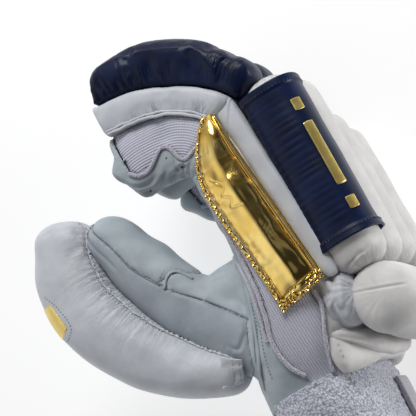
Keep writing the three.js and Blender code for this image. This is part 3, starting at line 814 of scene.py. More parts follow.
# %% Rules for the seams
def polygon(corners, p):
    """Distance from a polygon's outline, positive inside"""
    x, y = p[:, 0], p[:, 1]
    inside, gap = np.zeros(len(p), bool), np.full(len(p), 1e9)
    for (ax, ay), (bx, by) in zip(corners, corners[1:] + corners[:1]):
        long = (bx - ax) ** 2 + (by - ay) ** 2
        share = np.clip(((x - ax) * (bx - ax) + (y - ay) * (by - ay)) / long, 0, 1)
        gap = np.minimum(gap, np.hypot(x - ax - share * (bx - ax), y - ay - share * (by - ay)))
        crosses = (ay > y) != (by > y)
        inside ^= crosses & (x < ax + (y - ay) * (bx - ax) / (by - ay + 1e-12))
    return np.where(inside, gap, -gap)


def hem_line(finger, t):
    """Height of the knit's wavy lower edge over the middle line"""
    share = (t - KNIT_FROM) / (finger.length - KNIT_FROM)
    return through(WAVE[:, 0], WAVE[:, 1], KNIT_FROM + share * (INDEX.length - KNIT_FROM))


def nearest_finger(p):
    return np.clip(np.rint((p[:, 2] - LOWEST) / PITCH), 0, 3)


def front(p):
    """Positive on the back of the glove, negative on the palm leather"""
    value = p[:, 0] - through(PALM_SEAM[:, 0], PALM_SEAM[:, 1], p[:, 1])
    owner = nearest_finger(p)
    for f in FINGERS:
        t, out, side = f.local(p)
        share = np.clip((t - KNIT_FROM) / 8, 0, 1)
        mine = (owner == f.rank) & (t > KNIT_FROM)
        value = np.where(mine, (1 - share) * value + share * (out - hem_line(f, t)), value)
    return value


def on_finger(finger, rule):
    """A rule in a finger's own coordinates, far outside where the point isn't on that finger"""
    def value(p):
        t, out, side = finger.local(p)
        mine = (nearest_finger(p) == finger.rank) & (t > KNIT_FROM - 2)
        return np.where(mine, rule(t, out, side), -9.0)
    return value


def distal_span(f):
    """Where the roll over a finger's end starts and stops"""
    return f.run + (f.curl - f.run) * 0.3, f.length - 6


def wall_edge(f, t, column):
    """Height over the middle line of a distal wall's lower (1) or upper (2) edge"""
    start, end = distal_span(f)
    share = np.clip((t - start) / (end - start), 0, 1)
    return f.deep + through(WALL_EDGES[:, 0], WALL_EDGES[:, column], share)


def knit_start(finger, side):
    """Where a finger's knit begins, later on the index finger's thumb side, under the foil panel"""
    return np.where((finger is INDEX) & (side > 0), finger.run + 5.0, KNIT_FROM + 3.0)


def thumb_region(corners):
    """Inside an outline of the thumb, and above the heel of the palm"""
    return lambda p: np.minimum(polygon(corners, p), p[:, 2] - THUMB_Z + HEEL)


def hand_knit_region(p):
    """Inside the knit's outline, on the thumb side of the hand"""
    return np.minimum(polygon(HAND_KNIT, p), p[:, 2] - 70 - 32 * np.clip((p[:, 1] + 5) / 15, 0, 1))


SEAMS = [front, thumb_region(THUMB_SIDE), thumb_region(THUMB_PAD), hand_knit_region]
for f in FINGERS:
    SEAMS.append(on_finger(f, lambda t, out, side, f=f: wall_edge(f, t, 1) + 0.8 - out))
    SEAMS.append(on_finger(f, lambda t, out, side, f=f: np.minimum(
        t - knit_start(f, side), f.length - KNIT_STOP - t)))
    SEAMS.append(on_finger(f, lambda t, out, side: np.abs(side) - 1.0))


# %% [markdown]
# ### Cutting along the seams
# An edge whose two ends have values of opposite sign crosses the seam, and is split where the value is
# zero. Joining the new points then cuts the faces. Each face belongs to the panel that its centre lies
# in.


# %% Cut and label
def score(bm, rule):
    """Cuts a surface along the line where the rule's value is zero"""
    bm.verts.index_update()
    co = np.array([v.co for v in bm.verts]) / MM
    value = rule(co)
    ends = np.array([(e.verts[0].index, e.verts[1].index) for e in bm.edges])
    a, b = value[ends[:, 0]], value[ends[:, 1]]
    hit = np.nonzero((a * b < 0) & (np.abs(a * b) > 1e-6) & (np.abs(a) < 8) & (np.abs(b) < 8))[0]
    edges, verts = list(bm.edges), list(bm.verts)
    line = set()
    for k in hit:
        share = a[k] / (a[k] - b[k])
        if share < 0.12 or share > 0.88:
            line.add(verts[ends[k, 0 if share < 0.5 else 1]])
        else:
            line.add(bmesh.utils.edge_split(edges[k], verts[ends[k, 0]], share)[1])
    bmesh.ops.connect_verts(bm, verts=list(line), check_degenerate=False)


def relabel(p):
    """The panel that each point belongs to"""
    label = np.where(front(p) > 0, "back", "palm").astype("<U24")
    for f in FINGERS:
        t, out, side = f.local(p)
        mine = (nearest_finger(p) == f.rank) & (t > KNIT_FROM) & (front(p) > 0)
        mine = mine & (out < wall_edge(f, t, 1) + 0.8)
        knit = mine & (t > knit_start(f, side)) & (t < f.length - KNIT_STOP) & (np.abs(side) > 1)
        label[knit & (side > 0)] = f.name + "_thumbward"
        label[knit & (side < 0)] = f.name + "_outward"
        label[mine & (t >= f.length - KNIT_STOP)] = "palm"
    label[thumb_region(THUMB_SIDE)(p) > 0] = "thumb_side"
    label[thumb_region(THUMB_PAD)(p) > 0] = "thumb_pad"
    label[(label == "thumb_pad") & (p[:, 0] > -38) & (p[:, 1] > 26)] = "palm"
    label[(hand_knit_region(p) > 0) & (front(p) > 0)] = "hand_knit"
    return label


# %% [markdown]
# ### Making the skin ready and cutting it
# The fingertips are drawn in, the floor side is pressed flat, the wrist is opened, and the net is made
# finer above, where the folds are seen. Then every rule cuts the skin in turn.

# %% Make the skin ready and cut it
TIP = 5              # the last mm of a finger, drawn in below
FLOOR = 0.15         # height of the pressed floor side over the table
PRESSED = 2.5        # the skin is pressed flat below this height
co = points_of(skin)
for f in FINGERS:
    # the leather tip is cut short over the nail and stands out as a lip below it
    t, out, side = f.local(co)
    beyond = t - f.length + TIP
    tip = (nearest_finger(co) == f.rank) & (beyond > 0) & (t < f.length + 12) & (np.abs(out) < 25)
    squeeze = 0.65 - 0.4 * np.clip((out - 2) / 4, 0, 1)
    lip = 2.6 * np.exp(-((out + 1) / 5) ** 2) * np.clip(np.abs(side) / 8, 0, 1) * np.clip(beyond / TIP, 0, 1)
    co[tip] = f.place(f.length - TIP + beyond * squeeze + lip, out, side)[tip]
low = co[:, 2] < PRESSED
near_floor = 1 - co[low, 2].clip(0, PRESSED) / PRESSED
co[low, 2] = np.maximum(FLOOR, (co[low, 2] + PRESSED * (1 - near_floor ** 2)) / 2)
set_points(skin, co)
bm = bmesh.new()
bm.from_mesh(skin.data)
bmesh.ops.bisect_plane(bm, geom=bm.verts[:] + bm.edges[:] + bm.faces[:], dist=1e-6,
                       plane_co=(0, WRIST_Y * MM, 0), plane_no=(0, -1, 0), clear_outer=True)
FINE_ABOVE = 88      # height over which the net is made finer, where the folds are seen
fine = [e for e in bm.edges if min(v.co.z for v in e.verts) > FINE_ABOVE * MM]
bmesh.ops.subdivide_edges(bm, edges=fine, cuts=1, use_grid_fill=True)
for rule in SEAMS:
    score(bm, rule)
bm.to_mesh(skin.data)
bm.normal_update()
SKIN = BVHTree.FromBMesh(bm)
faces = list(bm.faces)
centres = np.array([f.calc_center_median() for f in faces]) / MM
labels = relabel(centres)
print("panels:", {str(k): int(n) for k, n in zip(*np.unique(labels, return_counts=True))})


# %% [markdown]
# ### Laying trims on a surface
# A search tree of a finished surface gives the nearest point and normal for any place. So a seam needs
# only a few rough points, and still lies on the leather along its whole length.


# %% Lay lines on a surface
def on_skin(points, lift=0.0, skin=SKIN):
    """The nearest points of a skin, by default the hand's, and its normals there, in mm"""
    found = [skin.find_nearest(Vector(p) * MM) for p in points]
    normals = np.array([n for _, n, _, _ in found])
    return np.array([p for p, _, _, _ in found]) / MM + normals * lift, normals


def laid(points, lift=0.0, skin=SKIN, step=1.5):
    """A line through points, laid on a skin"""
    base = Path(points)
    return Path(*on_skin(base.read(np.linspace(0, base.length, max(3, int(base.length / step)))), lift, skin))


def skin_of(obj):
    """A finished piece as a search tree, to lay trims on"""
    part = bmesh.new()
    part.from_mesh(obj.data)
    tree = BVHTree.FromBMesh(part)
    part.free()
    return tree


# %% [markdown]
# ## Panels
# Each panel is a part of the skin with its own thickness. Its edges turn in, as a sewn edge does, by a
# distance that depends on how far a point is from the panel's rim.

# %% Panel maker
PANEL_THICK = 1.8    # leather or knit with its lining
TUCK, TUCK_REACH = 1.0, 2.6      # how deep a panel's edge turns in, and from how far away


def rim_distance(obj):
    """Distance of each point from the panel's open edge, in mm"""
    bm = bmesh.new()
    bm.from_mesh(obj.data)
    rim = np.array([v.co for v in bm.verts if v.is_boundary]) / MM
    bm.free()
    p = points_of(obj)
    gap = np.full(len(p), 99.0)
    for i in range(0, len(p), 3000):
        gap[i:i + 3000] = np.sqrt(((p[i:i + 3000, None] - rim[None, ::2]) ** 2).sum(2)).min(1)
    return gap


def panel(name, label, material, weave=None, shape=None, share=1):
    """One panel of the skin with its lining. weave gives its UV map, shape its folds, and share is how
    much of the net is kept at the end."""
    part = bm.copy()
    part.faces.ensure_lookup_table()
    bmesh.ops.delete(part, geom=[part.faces[i] for i in np.nonzero(labels != label)[0]], context="FACES")
    mesh = bpy.data.meshes.new(name)
    part.to_mesh(mesh)
    part.free()
    obj = link(name, mesh, material, LINING)
    gap, p, n = rim_distance(obj), points_of(obj), normals_of(obj)
    sink = TUCK * np.clip(1 - gap / TUCK_REACH, 0, 1) ** 2
    wrist_edge = np.clip((p[:, 1] - WRIST_Y) / 3, 0, 1)
    p = p - n * (sink * wrist_edge)[:, None]
    if shape is not None:
        p = p + n * shape(p, gap)[:, None]
    p[:, 2] = np.maximum(p[:, 2], FLOOR)
    if weave is not None:
        layer = mesh.uv_layers.new(name="weave")
        uv = weave(p)
        corner = np.empty(len(mesh.loops), np.int32)
        mesh.loops.foreach_get("vertex_index", corner)
        layer.data.foreach_set("uv", uv[corner].ravel())
    set_points(obj, p)
    modify(obj, "SOLIDIFY", thickness=PANEL_THICK * MM, offset=-1, material_offset=1, material_offset_rim=0)
    return thin_out(bake(obj), share)


# %% [markdown]
# ### Folds of the leather
# A hand has bent each panel many times. The palm leather folds across the joints and along the curled
# index finger, and the back leather is pulled together beside the hand roll. Each fold is a groove with
# a soft ridge beside it, along a short path in the panel's own coordinates.

# %% Folds of the leather
THUMB_SEAM = Path([(-38, -17.5, 106.5), (-45.4, -6.5, 107.4), (-57, 11.1, 107), (-68, 24.5, 107.5),
                   (-74, 36.1, 107.5), (-78.3, 47, 106.5), (-80.4, 58, 105), (-80.2, 69.5, 102.5),
                   (-81, 78, 98)])
THUMB_STRIP = Path([(-80, 74), (-76.5, 62), (-73.5, 54), (-71.5, 47)])
FOLDS = [Path(rows) for rows in (
    # along the index finger, over its middle line
    [(104.2, -1), (103.1, -6.1), (100.8, -10.1), (97.3, -12.8), (92.6, -14), (86, -13.2)],
    [(104.6, -4), (103.6, -9), (101, -13.4), (96, -16), (90, -16.6), (83, -15), (79, -12.6)],
    [(80, -16.2), (72, -14.6), (64, -13), (57, -13.6)],
)]
PALM_FOLDS = [Path(rows) for rows in (
    # x, y on the thumb side of the palm
    [(-41, -8.2), (-36.8, -12.6), (-32.3, -9.6), (-27.4, -5.4)], [(-24, 22), (-32, 24), (-37, 23)],
)]
BACK_FOLDS = [Path(rows) for rows in (
    # x, y on the back leather, out from the hand roll's end
    [(20.6, -3.3), (17.2, -5), (17, -9.1), (16.1, -12.8)], [(16.1, -12.8), (13.1, -11.8), (9.5, -10.3)],
    [(15.6, -14), (11.8, -18.4), (10.2, -24.3), (11.1, -29)], [(16.5, -13.5), (14.6, -18), (15.3, -24.5)],
    [(15.5, -13.2), (12.4, -14.6), (8.6, -15.6)], [(19, -5.6), (14, -5), (9.5, -5.4)],
)]
BACK_SWELLS = (
    # x, y, reach, height
    (12.6, -22.5, 3.6, 2.2), (12.5, -8, 2.6, 1.0), (15.4, -17, 3.2, 3.0), (17.6, -9, 3.4, 4.0),
    (20, -3, 3, 2.5),
)
JOINT_FOLDS = (0.12, 0.36, 0.62, 0.9)        # where the folds cross a finger's bend, as shares of it


# %% [markdown]
# ### Depth of the folds
# Each panel adds up its folds, its swells and a little random softness, and fades them out towards its
# rim, where it is sewn down.

# %% Depth of the folds
def fold_depth(path, p, size=1.0):
    """A groove along the path with a soft ridge beside it"""
    along, gap = path.nearest(p)
    fade = np.clip(np.minimum(along, path.length - along) / 4, 0.15, 1)
    gap = gap / size
    return size * fade * (0.45 * np.exp(-((gap - 1.9) / 1.1) ** 2) - 0.9 * np.exp(-(gap / 0.75) ** 2))


def joint_creases(p, gap):
    """Creases across the palm side at each finger's middle joint, and the folds that the photo shows"""
    value = 0.3 * mottle(p, 5, 22) + 0.1 * mottle(p, 6, 7)
    owner = nearest_finger(p)
    for f in FINGERS:
        t, out, side = f.local(p)
        mine = (owner == f.rank) & (t > 26)
        for k, share in enumerate(JOINT_FOLDS):
            at = f.run + (f.curl - f.run) * share + 1.2 * wander(side, 3 + k, 8)
            groove = 0.9 * np.exp(-((t - at) / 1.1) ** 2) * np.clip(-out / f.deep, 0, 1)
            value = value - np.where(mine, groove, 0)
        if f is INDEX:
            seen = mine & (side > 0)
            flat = np.stack([t, out], -1)
            value = value + np.where(seen, sum(fold_depth(path, flat) for path in FOLDS), 0)
    top = p[:, 2] > THUMB_Z
    value = value + np.where(top, 0.5 * sum(fold_depth(path, p) for path in PALM_FOLDS), 0)
    return value * np.clip(gap / 2, 0, 1)


def back_creases(p, gap):
    """Soft folds that run out from under the hand roll's end, where the back leather is pulled together"""
    x, y, z = p.T
    angle, far = np.arctan2(y + 19, x - 26), np.hypot(x - 26, y + 19)
    near = np.clip((z - 70) / 15, 0, 1) * np.exp(-((far - 10) / 9) ** 2)
    rays = np.cos(9 * angle + 1.3 * wander(far, 31, 6)) + 0.5 * np.cos(17 * angle + far / 4)
    value = (0.4 * mottle(p, 9, 16) + 0.4 * near * rays) * np.clip(gap / 3, 0, 1)
    seen = (z > 76) & (x > 2)
    pulls = sum(fold_depth(path, p, 1.35) for path in BACK_FOLDS)
    swells = sum(high * np.exp(-((x - bx) ** 2 + (y - by) ** 2) / wide ** 2)
                 for bx, by, wide, high in BACK_SWELLS)
    value = value + np.where(seen, pulls + swells, 0) * np.clip(gap / 2, 0, 1)
    owner = nearest_finger(p)
    for f in FINGERS:
        t, out, side = f.local(p)
        tip = (owner == f.rank) & (t > f.length - 6) & (out < 15)
        value = value - np.where(tip, 1.6 * np.exp(-gap / 1.0), 0)
    return value


def thumb_side_creases(p, gap):
    along, far = THUMB_SEAM.nearest(p)
    value = 0.35 * mottle(p, 11, 24) + 0.45 * fold_depth(THUMB_STRIP, p) * (p[:, 2] > THUMB_Z)
    value = value + 0.5 * sum(fold_depth(path, p) for path in PALM_FOLDS) * (p[:, 2] > THUMB_Z)
    return (value + gathers(along, far, 12, 3.1, 3, 0.2)) * np.clip(gap / 2, 0, 1)


def soft(amount, size, seed):
    return lambda p, gap: amount * mottle(p, seed, size) * np.clip(gap / 4, 0, 1)


# %% [markdown]
# ### Making the panels
# The three large leather panels are thinned where they are nearly flat, since their net was fine enough
# for the cuts. The knit keeps its net, and its UV map runs with the finger.

# %% Make the panels
settle(panel("palm_panel", "palm", PALM_LEATHER, shape=joint_creases, share=0.4),
       "palm_leather")
settle(panel("back_panel", "back", WHITE_LEATHER, shape=back_creases, share=0.4),
       "back_leather")
settle(panel("thumb_side_panel", "thumb_side", SIDE_LEATHER, shape=thumb_side_creases, share=0.45),
       "thumb_side")
settle(panel("thumb_pad_panel", "thumb_pad", PALM_LEATHER, shape=soft(0.45, 18, 13)),
       "thumb_pad")
settle(panel("hand_knit_panel", "hand_knit", KNIT, weave=lambda p: p[:, [1, 0]]), "hand_knit")
for f in FINGERS:
    for word in ("thumbward", "outward"):
        def weave(p, f=f):
            t, out, _ = f.local(p)
            return np.stack([t, out], -1)

        def dents(p, gap, f=f):
            t, out, _ = f.local(p)
            pinch = -1.5 * np.exp(-((t - f.curl + 1.5) / 4.5) ** 2 - ((out - 2) / 6) ** 2)
            puckers = gathers(t, wall_edge(f, t, 1) - out, 41, 3.4, 4, 0.7)
            puckers = puckers * np.clip(1 - np.abs(t - f.curl + 3) / 16, 0, 1)
            tuck_in = -1.5 * np.clip((t - f.length + KNIT_STOP + 4) / 4, 0, 1)
            return (pinch + puckers + 0.3 * wander(t, 4, 9)) * np.clip(gap / 3, 0, 1) + tuck_in
        knit = panel(f"{f.name}_{word}_knit_panel", f"{f.name}_{word}", KNIT, weave=weave, shape=dents)
        settle(knit, f"{f.name}_knit_{word}")
bpy.data.objects.remove(skin)

# %% [markdown]
# ## Bindings, welts and stitch rows of the hand
# The knit is sewn to the palm leather with a thick rolled binding of braided cotton. Where the thumb's
# leathers meet the palm, folded welts and rows of machine stitches follow the seams.

# %% Bindings and welts of the fingers
for f in FINGERS:
    for sign, word in ((1, "thumbward"), (-1, "outward")):
        first = float(knit_start(f, sign)) + (7 if f is INDEX and sign > 0 else -1)
        t = np.linspace(first, f.length - KNIT_STOP + 0.6, 90)
        out = hem_line(f, t)
        edge = Path(*on_skin(f.place(t, out, sign * f.flank(out)), 0.15))
        settle(tube(f"{f.name}_{word}_binding", edge, 1.05, BINDING, flat=0.85))
        for k, (raised, radius) in enumerate(((0.5, 0.8), (1.9, 0.62))):
            start, end = distal_span(f)
            t = np.linspace(start + 1.5, end - 0.6, 60)
            waver = 0.25 * wander(t, 170 + k, 5)
            welt = Path(f.place(t, wall_edge(f, t, 1) + raised + waver, sign * 13.1),
                        np.tile([0, 0, float(sign)], (60, 1)))
            settle(tube(f"{f.name}_{word}_welt_{k + 1}", welt, radius, THUMB_LEATHER, flat=0.75))

# %% [markdown]
# ### Seams of the palm
# The palm leather's edge is bound to the hand's knit. Beside it run a second cord, two folded welts and
# two rows of sunk stitches, all towards the heel of the hand.

# %% Seams of the palm
y = np.linspace(52, -41, 60)
palm_edge = laid(np.stack([through(PALM_SEAM[:, 0], PALM_SEAM[:, 1], y), y, 0 * y + 113], -1), 0.5)
settle(tube("palm_edge_binding", palm_edge, 1.15, BINDING, flat=0.85))
second = laid([(-19.8, 26, 104), (-17.4, 12, 112.5), (-17, 4.6, 113.6), (-18, -1.3, 113.6), (-19.4, -8, 113.2),
               (-21, -14, 112.4), (-21.6, -18, 112)], 0.5)
settle(tube("palm_edge_cord", second, 0.95, BINDING))
welt = laid([(-17.6, 26, 106), (-18.8, 16, 109), (-21.4, 0.7, 110.9), (-25.6, -10.7, 109.5),
             (-30.6, -21.6, 108), (-34.3, -28, 103.5), (-36, -34, 99)], 0.1)
settle(tube("palm_welt", welt, 1.0, PALM_LEATHER, flat=0.7))
inner = laid([(-19.5, 18, 105), (-22.6, 2, 109), (-27.4, -10.5, 108.6), (-32.2, -21, 106)], 0.1)
settle(tube("palm_inner_welt", inner, 0.55, SIDE_LEATHER, flat=0.8))
for name, points in {
    "palm_stitch_row_1": [(-20.5, 25, 100), (-19.6, 16, 106.4), (-19.8, 8, 110.5), (-20.2, 1, 111.5),
                          (-21.9, -5.2, 112), (-24, -9.9, 111.2), (-27.6, -15.5, 109.5),
                          (-31, -24, 107.5), (-34, -31, 104)],
    "palm_stitch_row_2": [(-17, 24, 108), (-16.6, 14, 112), (-18.6, 2, 113), (-20.9, -7, 112.6),
                          (-24.3, -15.4, 111.3), (-27.4, -23.6, 109.6), (-29, -32, 106.5)],
}.items():
    row = laid(points)
    settle(stitches(name, row, 1.7, 0.8, 0.26, SEWN, 0.1))

# %% [markdown]
# ### Trims of the knit, the thumb and the fingertip
# A cord ends the hand's knit towards the back. A short band crosses the thumb's seam, and a few vent
# holes in the index finger's leather are shown as dark grains of painted shade.

# %% Trims of the knit, the thumb and the fingertip
cord = laid([(7, -7, 111.5), (8, -10.8, 110.5), (6.2, -18.2, 110.3), (3.9, -22.8, 110.2), (1.5, -28.5, 109.6),
             (-0.4, -36, 109), (-2, -44, 108)], 0.9)
settle(tube("hand_knit_cord", cord, 1.05, BINDING))
seam = laid([(x, y, 106) for x, y in THUMB_SIDE[:6]] + [(-24, -6, 108)], -0.55)
settle(tube("thumb_pad_seam", seam, 0.38, SEWN))
cross = laid([(-41.5, 27, 103.2), (-44.9, 31.8, 103.8), (-47.6, 34.3, 104.9), (-50.3, 34.1, 106),
              (-52.5, 32, 107.2), (-54.9, 28.9, 107.3)], 0.2)
settle(tube("thumb_cross_band", cross, 0.75, PALM_LEATHER, flat=0.8))
dots = laid([(-47, 36.8, 104.5), (-51, 36.6, 106), (-54.2, 34.8, 106.8), (-56.6, 31, 107.4)])
settle(stitches("thumb_cross_stitches", dots, 1.8, 0.8, 0.32, SEWN, 0.05))
# painted shade: each vent hole is a dark grain sunk into the leather, standing for the shade inside the hole
for k, (t, out) in enumerate(((76.3, -7.8), (75.8, -13.2), (94.5, -16.4), (66, -13.5))):
    hole = INDEX.place(t, out, INDEX.flank(out))
    spot = Path(*on_skin([hole - [0.5, 0, 0], hole + [0.5, 0, 0]], 0))
    settle(stitches(f"vent_hole_{k + 1}", spot, 1.0, 1.3, 0.55, DARK_HOLE, -0.25))


# %% [markdown]
# ## Padding
# The rolls are foam sausages in leather sleeves. Each starts as a tube a little smaller than the real
# roll. A voxel remesh gives it an even net, and a short cloth simulation blows it up with air pressure
# while its seams are held, so the leather swells between the seams as it does over foam. How far a
# point may move is capped, so the roll keeps its size. Fine creases are pressed in afterwards.

# %% Padding helpers
SIM_SCALE = 4          # the simulation runs four times larger, where cloth behaves as it does on furniture
SIM_FRAMES = 14
AIR_PRESSURE = 4.0
LEATHER_SLACK = 0.03   # the share by which the leather may grow


def puff(obj, cap, pins=None):
    """Blows a closed form up with its pinned points held. cap is the furthest move in mm."""
    rest = points_of(obj)
    set_points(obj, rest * SIM_SCALE)
    cloth = obj.modifiers.new("padding", "CLOTH")
    cloth.settings.quality = 4
    cloth.settings.use_pressure = True
    cloth.settings.uniform_pressure_force = AIR_PRESSURE
    cloth.settings.effector_weights.gravity = 0
    cloth.settings.tension_stiffness = cloth.settings.compression_stiffness = 20
    cloth.settings.bending_stiffness = 0.6
    cloth.settings.shrink_min = -LEATHER_SLACK
    cloth.collision_settings.use_collision = False
    cloth.point_cache.frame_start = 1
    cloth.point_cache.frame_end = SIM_FRAMES
    if pins is not None:
        group = obj.vertex_groups.new(name="seams")
        held = np.clip(pins(rest), 0, 1)
        for level in np.unique(np.round(held, 1)):
            group.add([int(i) for i in np.nonzero(np.round(held, 1) == level)[0]], float(level), "REPLACE")
        cloth.settings.vertex_group_mass = "seams"
    for step in range(1, SIM_FRAMES + 1):
        scene.frame_set(step)
    moved_mesh = obj.evaluated_get(bpy.context.evaluated_depsgraph_get()).data
    moved = np.empty(len(rest) * 3)
    moved_mesh.vertices.foreach_get("co", moved)
    obj.modifiers.clear()
    obj.vertex_groups.clear()
    scene.frame_set(1)
    step = moved.reshape(-1, 3) / MM / SIM_SCALE - rest
    far = np.linalg.norm(step, axis=1)
    set_points(obj, rest + step * (np.minimum(far, cap) / np.maximum(far, 1e-9))[:, None])
    return far


def pad(name, along, around, place, material, shape, cap, voxel=2.0, pins=None, levels=1, keep=None, smooth=3,
        share=1):
    """A padded piece: tube, remesh, simulation, subdivision, creases. keep moves points clear of neighbours,
    and share is how much of the net is kept at the end."""
    obj = surface(name, along, around, place, material)
    modify(obj, "REMESH", mode="VOXEL", voxel_size=voxel * MM)
    modify(obj, "SMOOTH", factor=0.5, iterations=smooth)
    bake(obj)
    far = puff(obj, cap, pins)
    print(f"{name}: {len(far)} points, pushed {np.median(far):.2f} mm by the air, capped at {cap}")
    modify(obj, "SUBSURF", levels=levels, render_levels=levels)
    bake(obj)
    p, n = points_of(obj), normals_of(obj)
    p = p + n * shape(p)[:, None]
    if keep is not None:
        p = keep(p)
    p[:, 2] = np.maximum(p[:, 2], FLOOR)
    set_points(obj, p)
    return thin_out(obj, share)


# %% [markdown]
# ## Rolls over the finger ends
# Each is a navy cap on a low white side wall, and both follow the curl of the finger. The cap's section is
# a rounded box, and the wall's a thin one that straddles the stall. Only a table of shares changes along
# the roll, so the same functions make all four.

# %% Forms of the caps and walls
WALL_HIGH, CAP_TOP, CAP_HALF = 8.5, 31, 13.3        # the air pressure adds the rest
WALL_HALF, WALL_LEAN = 13.9, 0.9                    # a wall's half width, less towards the stall
FLEX = 0.13                                         # where a cap's flex crease lies, as a share of its length
CAP_SHAPE = np.array([
    # share along, height share, width share
    (0, 0.55, 0.72), (0.04, 0.72, 0.9), (0.13, 0.79, 0.97), (0.19, 0.8, 0.97), (0.25, 0.86, 0.99),
    (0.35, 0.93, 1.0), (0.46, 1.01, 1.0), (0.58, 1.04, 1.0), (0.76, 1.02, 1.0),
    (0.86, 0.97, 1.0), (0.895, 0.9, 0.98), (0.93, 0.7, 0.96), (0.97, 0.42, 0.94), (1, 0.22, 0.92),
])


def cap_place(f):
    start, end = distal_span(f)

    def place(s, a):
        at = spread(s)
        t = start + (end - 0.9 - start) * at
        high, wide = (through(CAP_SHAPE[:, 0], CAP_SHAPE[:, k], at) for k in (1, 2))
        close = dome(at, 0, 1, 0.028)
        c, v = oval(a, 3.6)
        foot = wall_edge(f, t, 2) + GAP
        half = (f.deep + WALL_HIGH + GAP + (CAP_TOP - WALL_HIGH) * high - foot) / 2
        out = foot + half * (1 + c * close)
        return f.place(t, out, v * CAP_HALF * wide * close)
    return place


def wall_place(f):
    start, end = distal_span(f)

    def place(s, a):
        at = spread(s)
        t = start + 1 + (end - start - 0.5) * at
        wide = through(CAP_SHAPE[:, 0], CAP_SHAPE[:, 2], at)
        close = dome(at, 0, 1, 0.025)
        c, v = oval(a, 8.0)
        low, high = wall_edge(f, t, 1), wall_edge(f, t, 2)
        out = (low + high) / 2 + c * (high - low) / 2 * close
        return f.place(t, out, v * (WALL_HALF - WALL_LEAN * (c < 0) * -c) * wide * close)
    return place


def over_stall(f, clear=0.2):
    """Moves points of a wall up to the stall that it sits on"""
    def keep(p):
        t, out, side = f.local(p)
        top = f.deep * (1 - np.minimum(np.abs(side / f.wide), 1) ** STALL_POWER) ** (1 / STALL_POWER) + clear
        return f.place(t, np.maximum(out, top), side)
    return keep


# %% [markdown]
# ### Seams and creases of the caps
# The air may not lift a cap's foot, where it is sewn to the wall, or its flex crease near the knuckle.
# Gathers rise from the foot, a thin piping runs along the thumb side, and the leather's finest creases
# are left to the material, which presses them in and darkens them with painted shade, as strong as the mask
# says.

# %% Seams and creases of the caps
def cap_pins(f):
    start, end = distal_span(f)

    def pins(p):
        t, out, side = f.local(p)
        foot = np.clip(1.4 - np.abs(out - wall_edge(f, t, 2) - 1.5) / 1.6, 0, 1)
        flex = np.clip(1.3 - np.abs(t - start - FLEX * (end - start)) / 1.2, 0, 1) * 0.8
        return np.maximum(foot, flex)
    return pins


def cap_shape(f):
    start, end = distal_span(f)

    def shape(p):
        t, out, side = f.local(p)
        up = out - wall_edge(f, t, 2)
        flex_at = start + FLEX * (end - start) + 0.5 * wander(side + out, 8, 12)
        flex = -1.0 * np.exp(-((t - flex_at) / 0.9) ** 2) * np.clip((up - 1) / 5, 0, 1)
        piping = 0.4 * np.exp(-(np.hypot(up - 18, side - 12.4) / 0.8) ** 2) * (t > start + 14)
        folds = gathers(t + 40 * (side < 0), np.abs(up - 4), 21 + int(f.z), 2.9, 8, 0.75)
        return flex + piping + folds * np.clip((t - start - 16) / 8, 0, 1) + 0.2 * mottle(p, 40, 20)
    return shape


def cap_gather(f, obj):
    start, end = distal_span(f)
    p = points_of(obj)
    t, out, side = f.local(p)
    up = out - wall_edge(f, t, 2)
    low = np.clip(1.15 - np.abs(up - 5) / 8, 0, 1) * np.clip((t - start - 12) / 10, 0, 1)
    low = low + 0.7 * np.exp(-((t - start - FLEX * (end - start)) / 4) ** 2) * np.clip((up - 2) / 4, 0, 1)
    tag(obj, t + 50 * (side < 0), up, 1.6 * low * (0.65 + 0.5 * wander(t, 22, 9)))


# %% [markdown]
# ### Making the caps and walls
# The two caps that are seen closely get a finer net for their creases, thinned again where they are
# smooth. The other walls are half as fine as the index finger's.

# %% Make the caps and walls
CAP_NETS = {     # levels of subdivision, share kept
    "index": (2, 0.6), "middle": (2, 0.35), "ring": (1, 1), "little": (1, 1)}
for f in FINGERS:
    levels, share = CAP_NETS[f.name]
    cap = pad(f"{f.name}_roll_cap", 90, 56, cap_place(f), NAVY_LEATHER, cap_shape(f), 1.3, pins=cap_pins(f),
              levels=levels, share=share)
    cap_gather(f, cap)
    settle(cap, f"{f.name}_distal_roll")
    wall = pad(f"{f.name}_roll_wall", 80, 48, wall_place(f), THUMB_LEATHER, lambda p: 0.2 * mottle(p, 62, 14),
               0.3, voxel=1.5, keep=over_stall(f), smooth=1, share=1 if f is INDEX else 0.5)
    t, out, side = f.local(points_of(wall))
    tag(wall, t + 50 * (side < 0), out, np.clip(1 - (out - 14) / 6, 0, 1) * (0.5 + 0.5 * wander(t, 63, 7)))
    settle(wall, f"{f.name}_distal_wall")

# %% [markdown]
# ## Rolls over the knuckles
# These are straight sausages of foam with domed ends, side by side over the fingers' roots. A gathered
# seam closes each end. The index finger's is a little thinner, because it wears the navy band.

# %% Rolls over the knuckles
ROLL_X, ROLL_DEEP, ROLL_WIDE, ROLL_LOW = 32, 15, 14.3, -9.5


def roll_high(f):
    return FINGER_START + f.run + 23.5


def roll_size(f):
    inset = 1.85 if f is INDEX else 0
    return ROLL_DEEP - inset, ROLL_WIDE - inset


def roll_place(f):
    deep, wide = roll_size(f)
    high = roll_high(f)

    def place(s, a):
        y = ROLL_LOW + (high - ROLL_LOW) * spread(s)
        c, v = oval(a, 2.5)
        size = dome(y, ROLL_LOW, high, 11, 2.2)
        return np.stack([ROLL_X + c * deep * size, y, f.z + v * wide * size], -1)
    return place


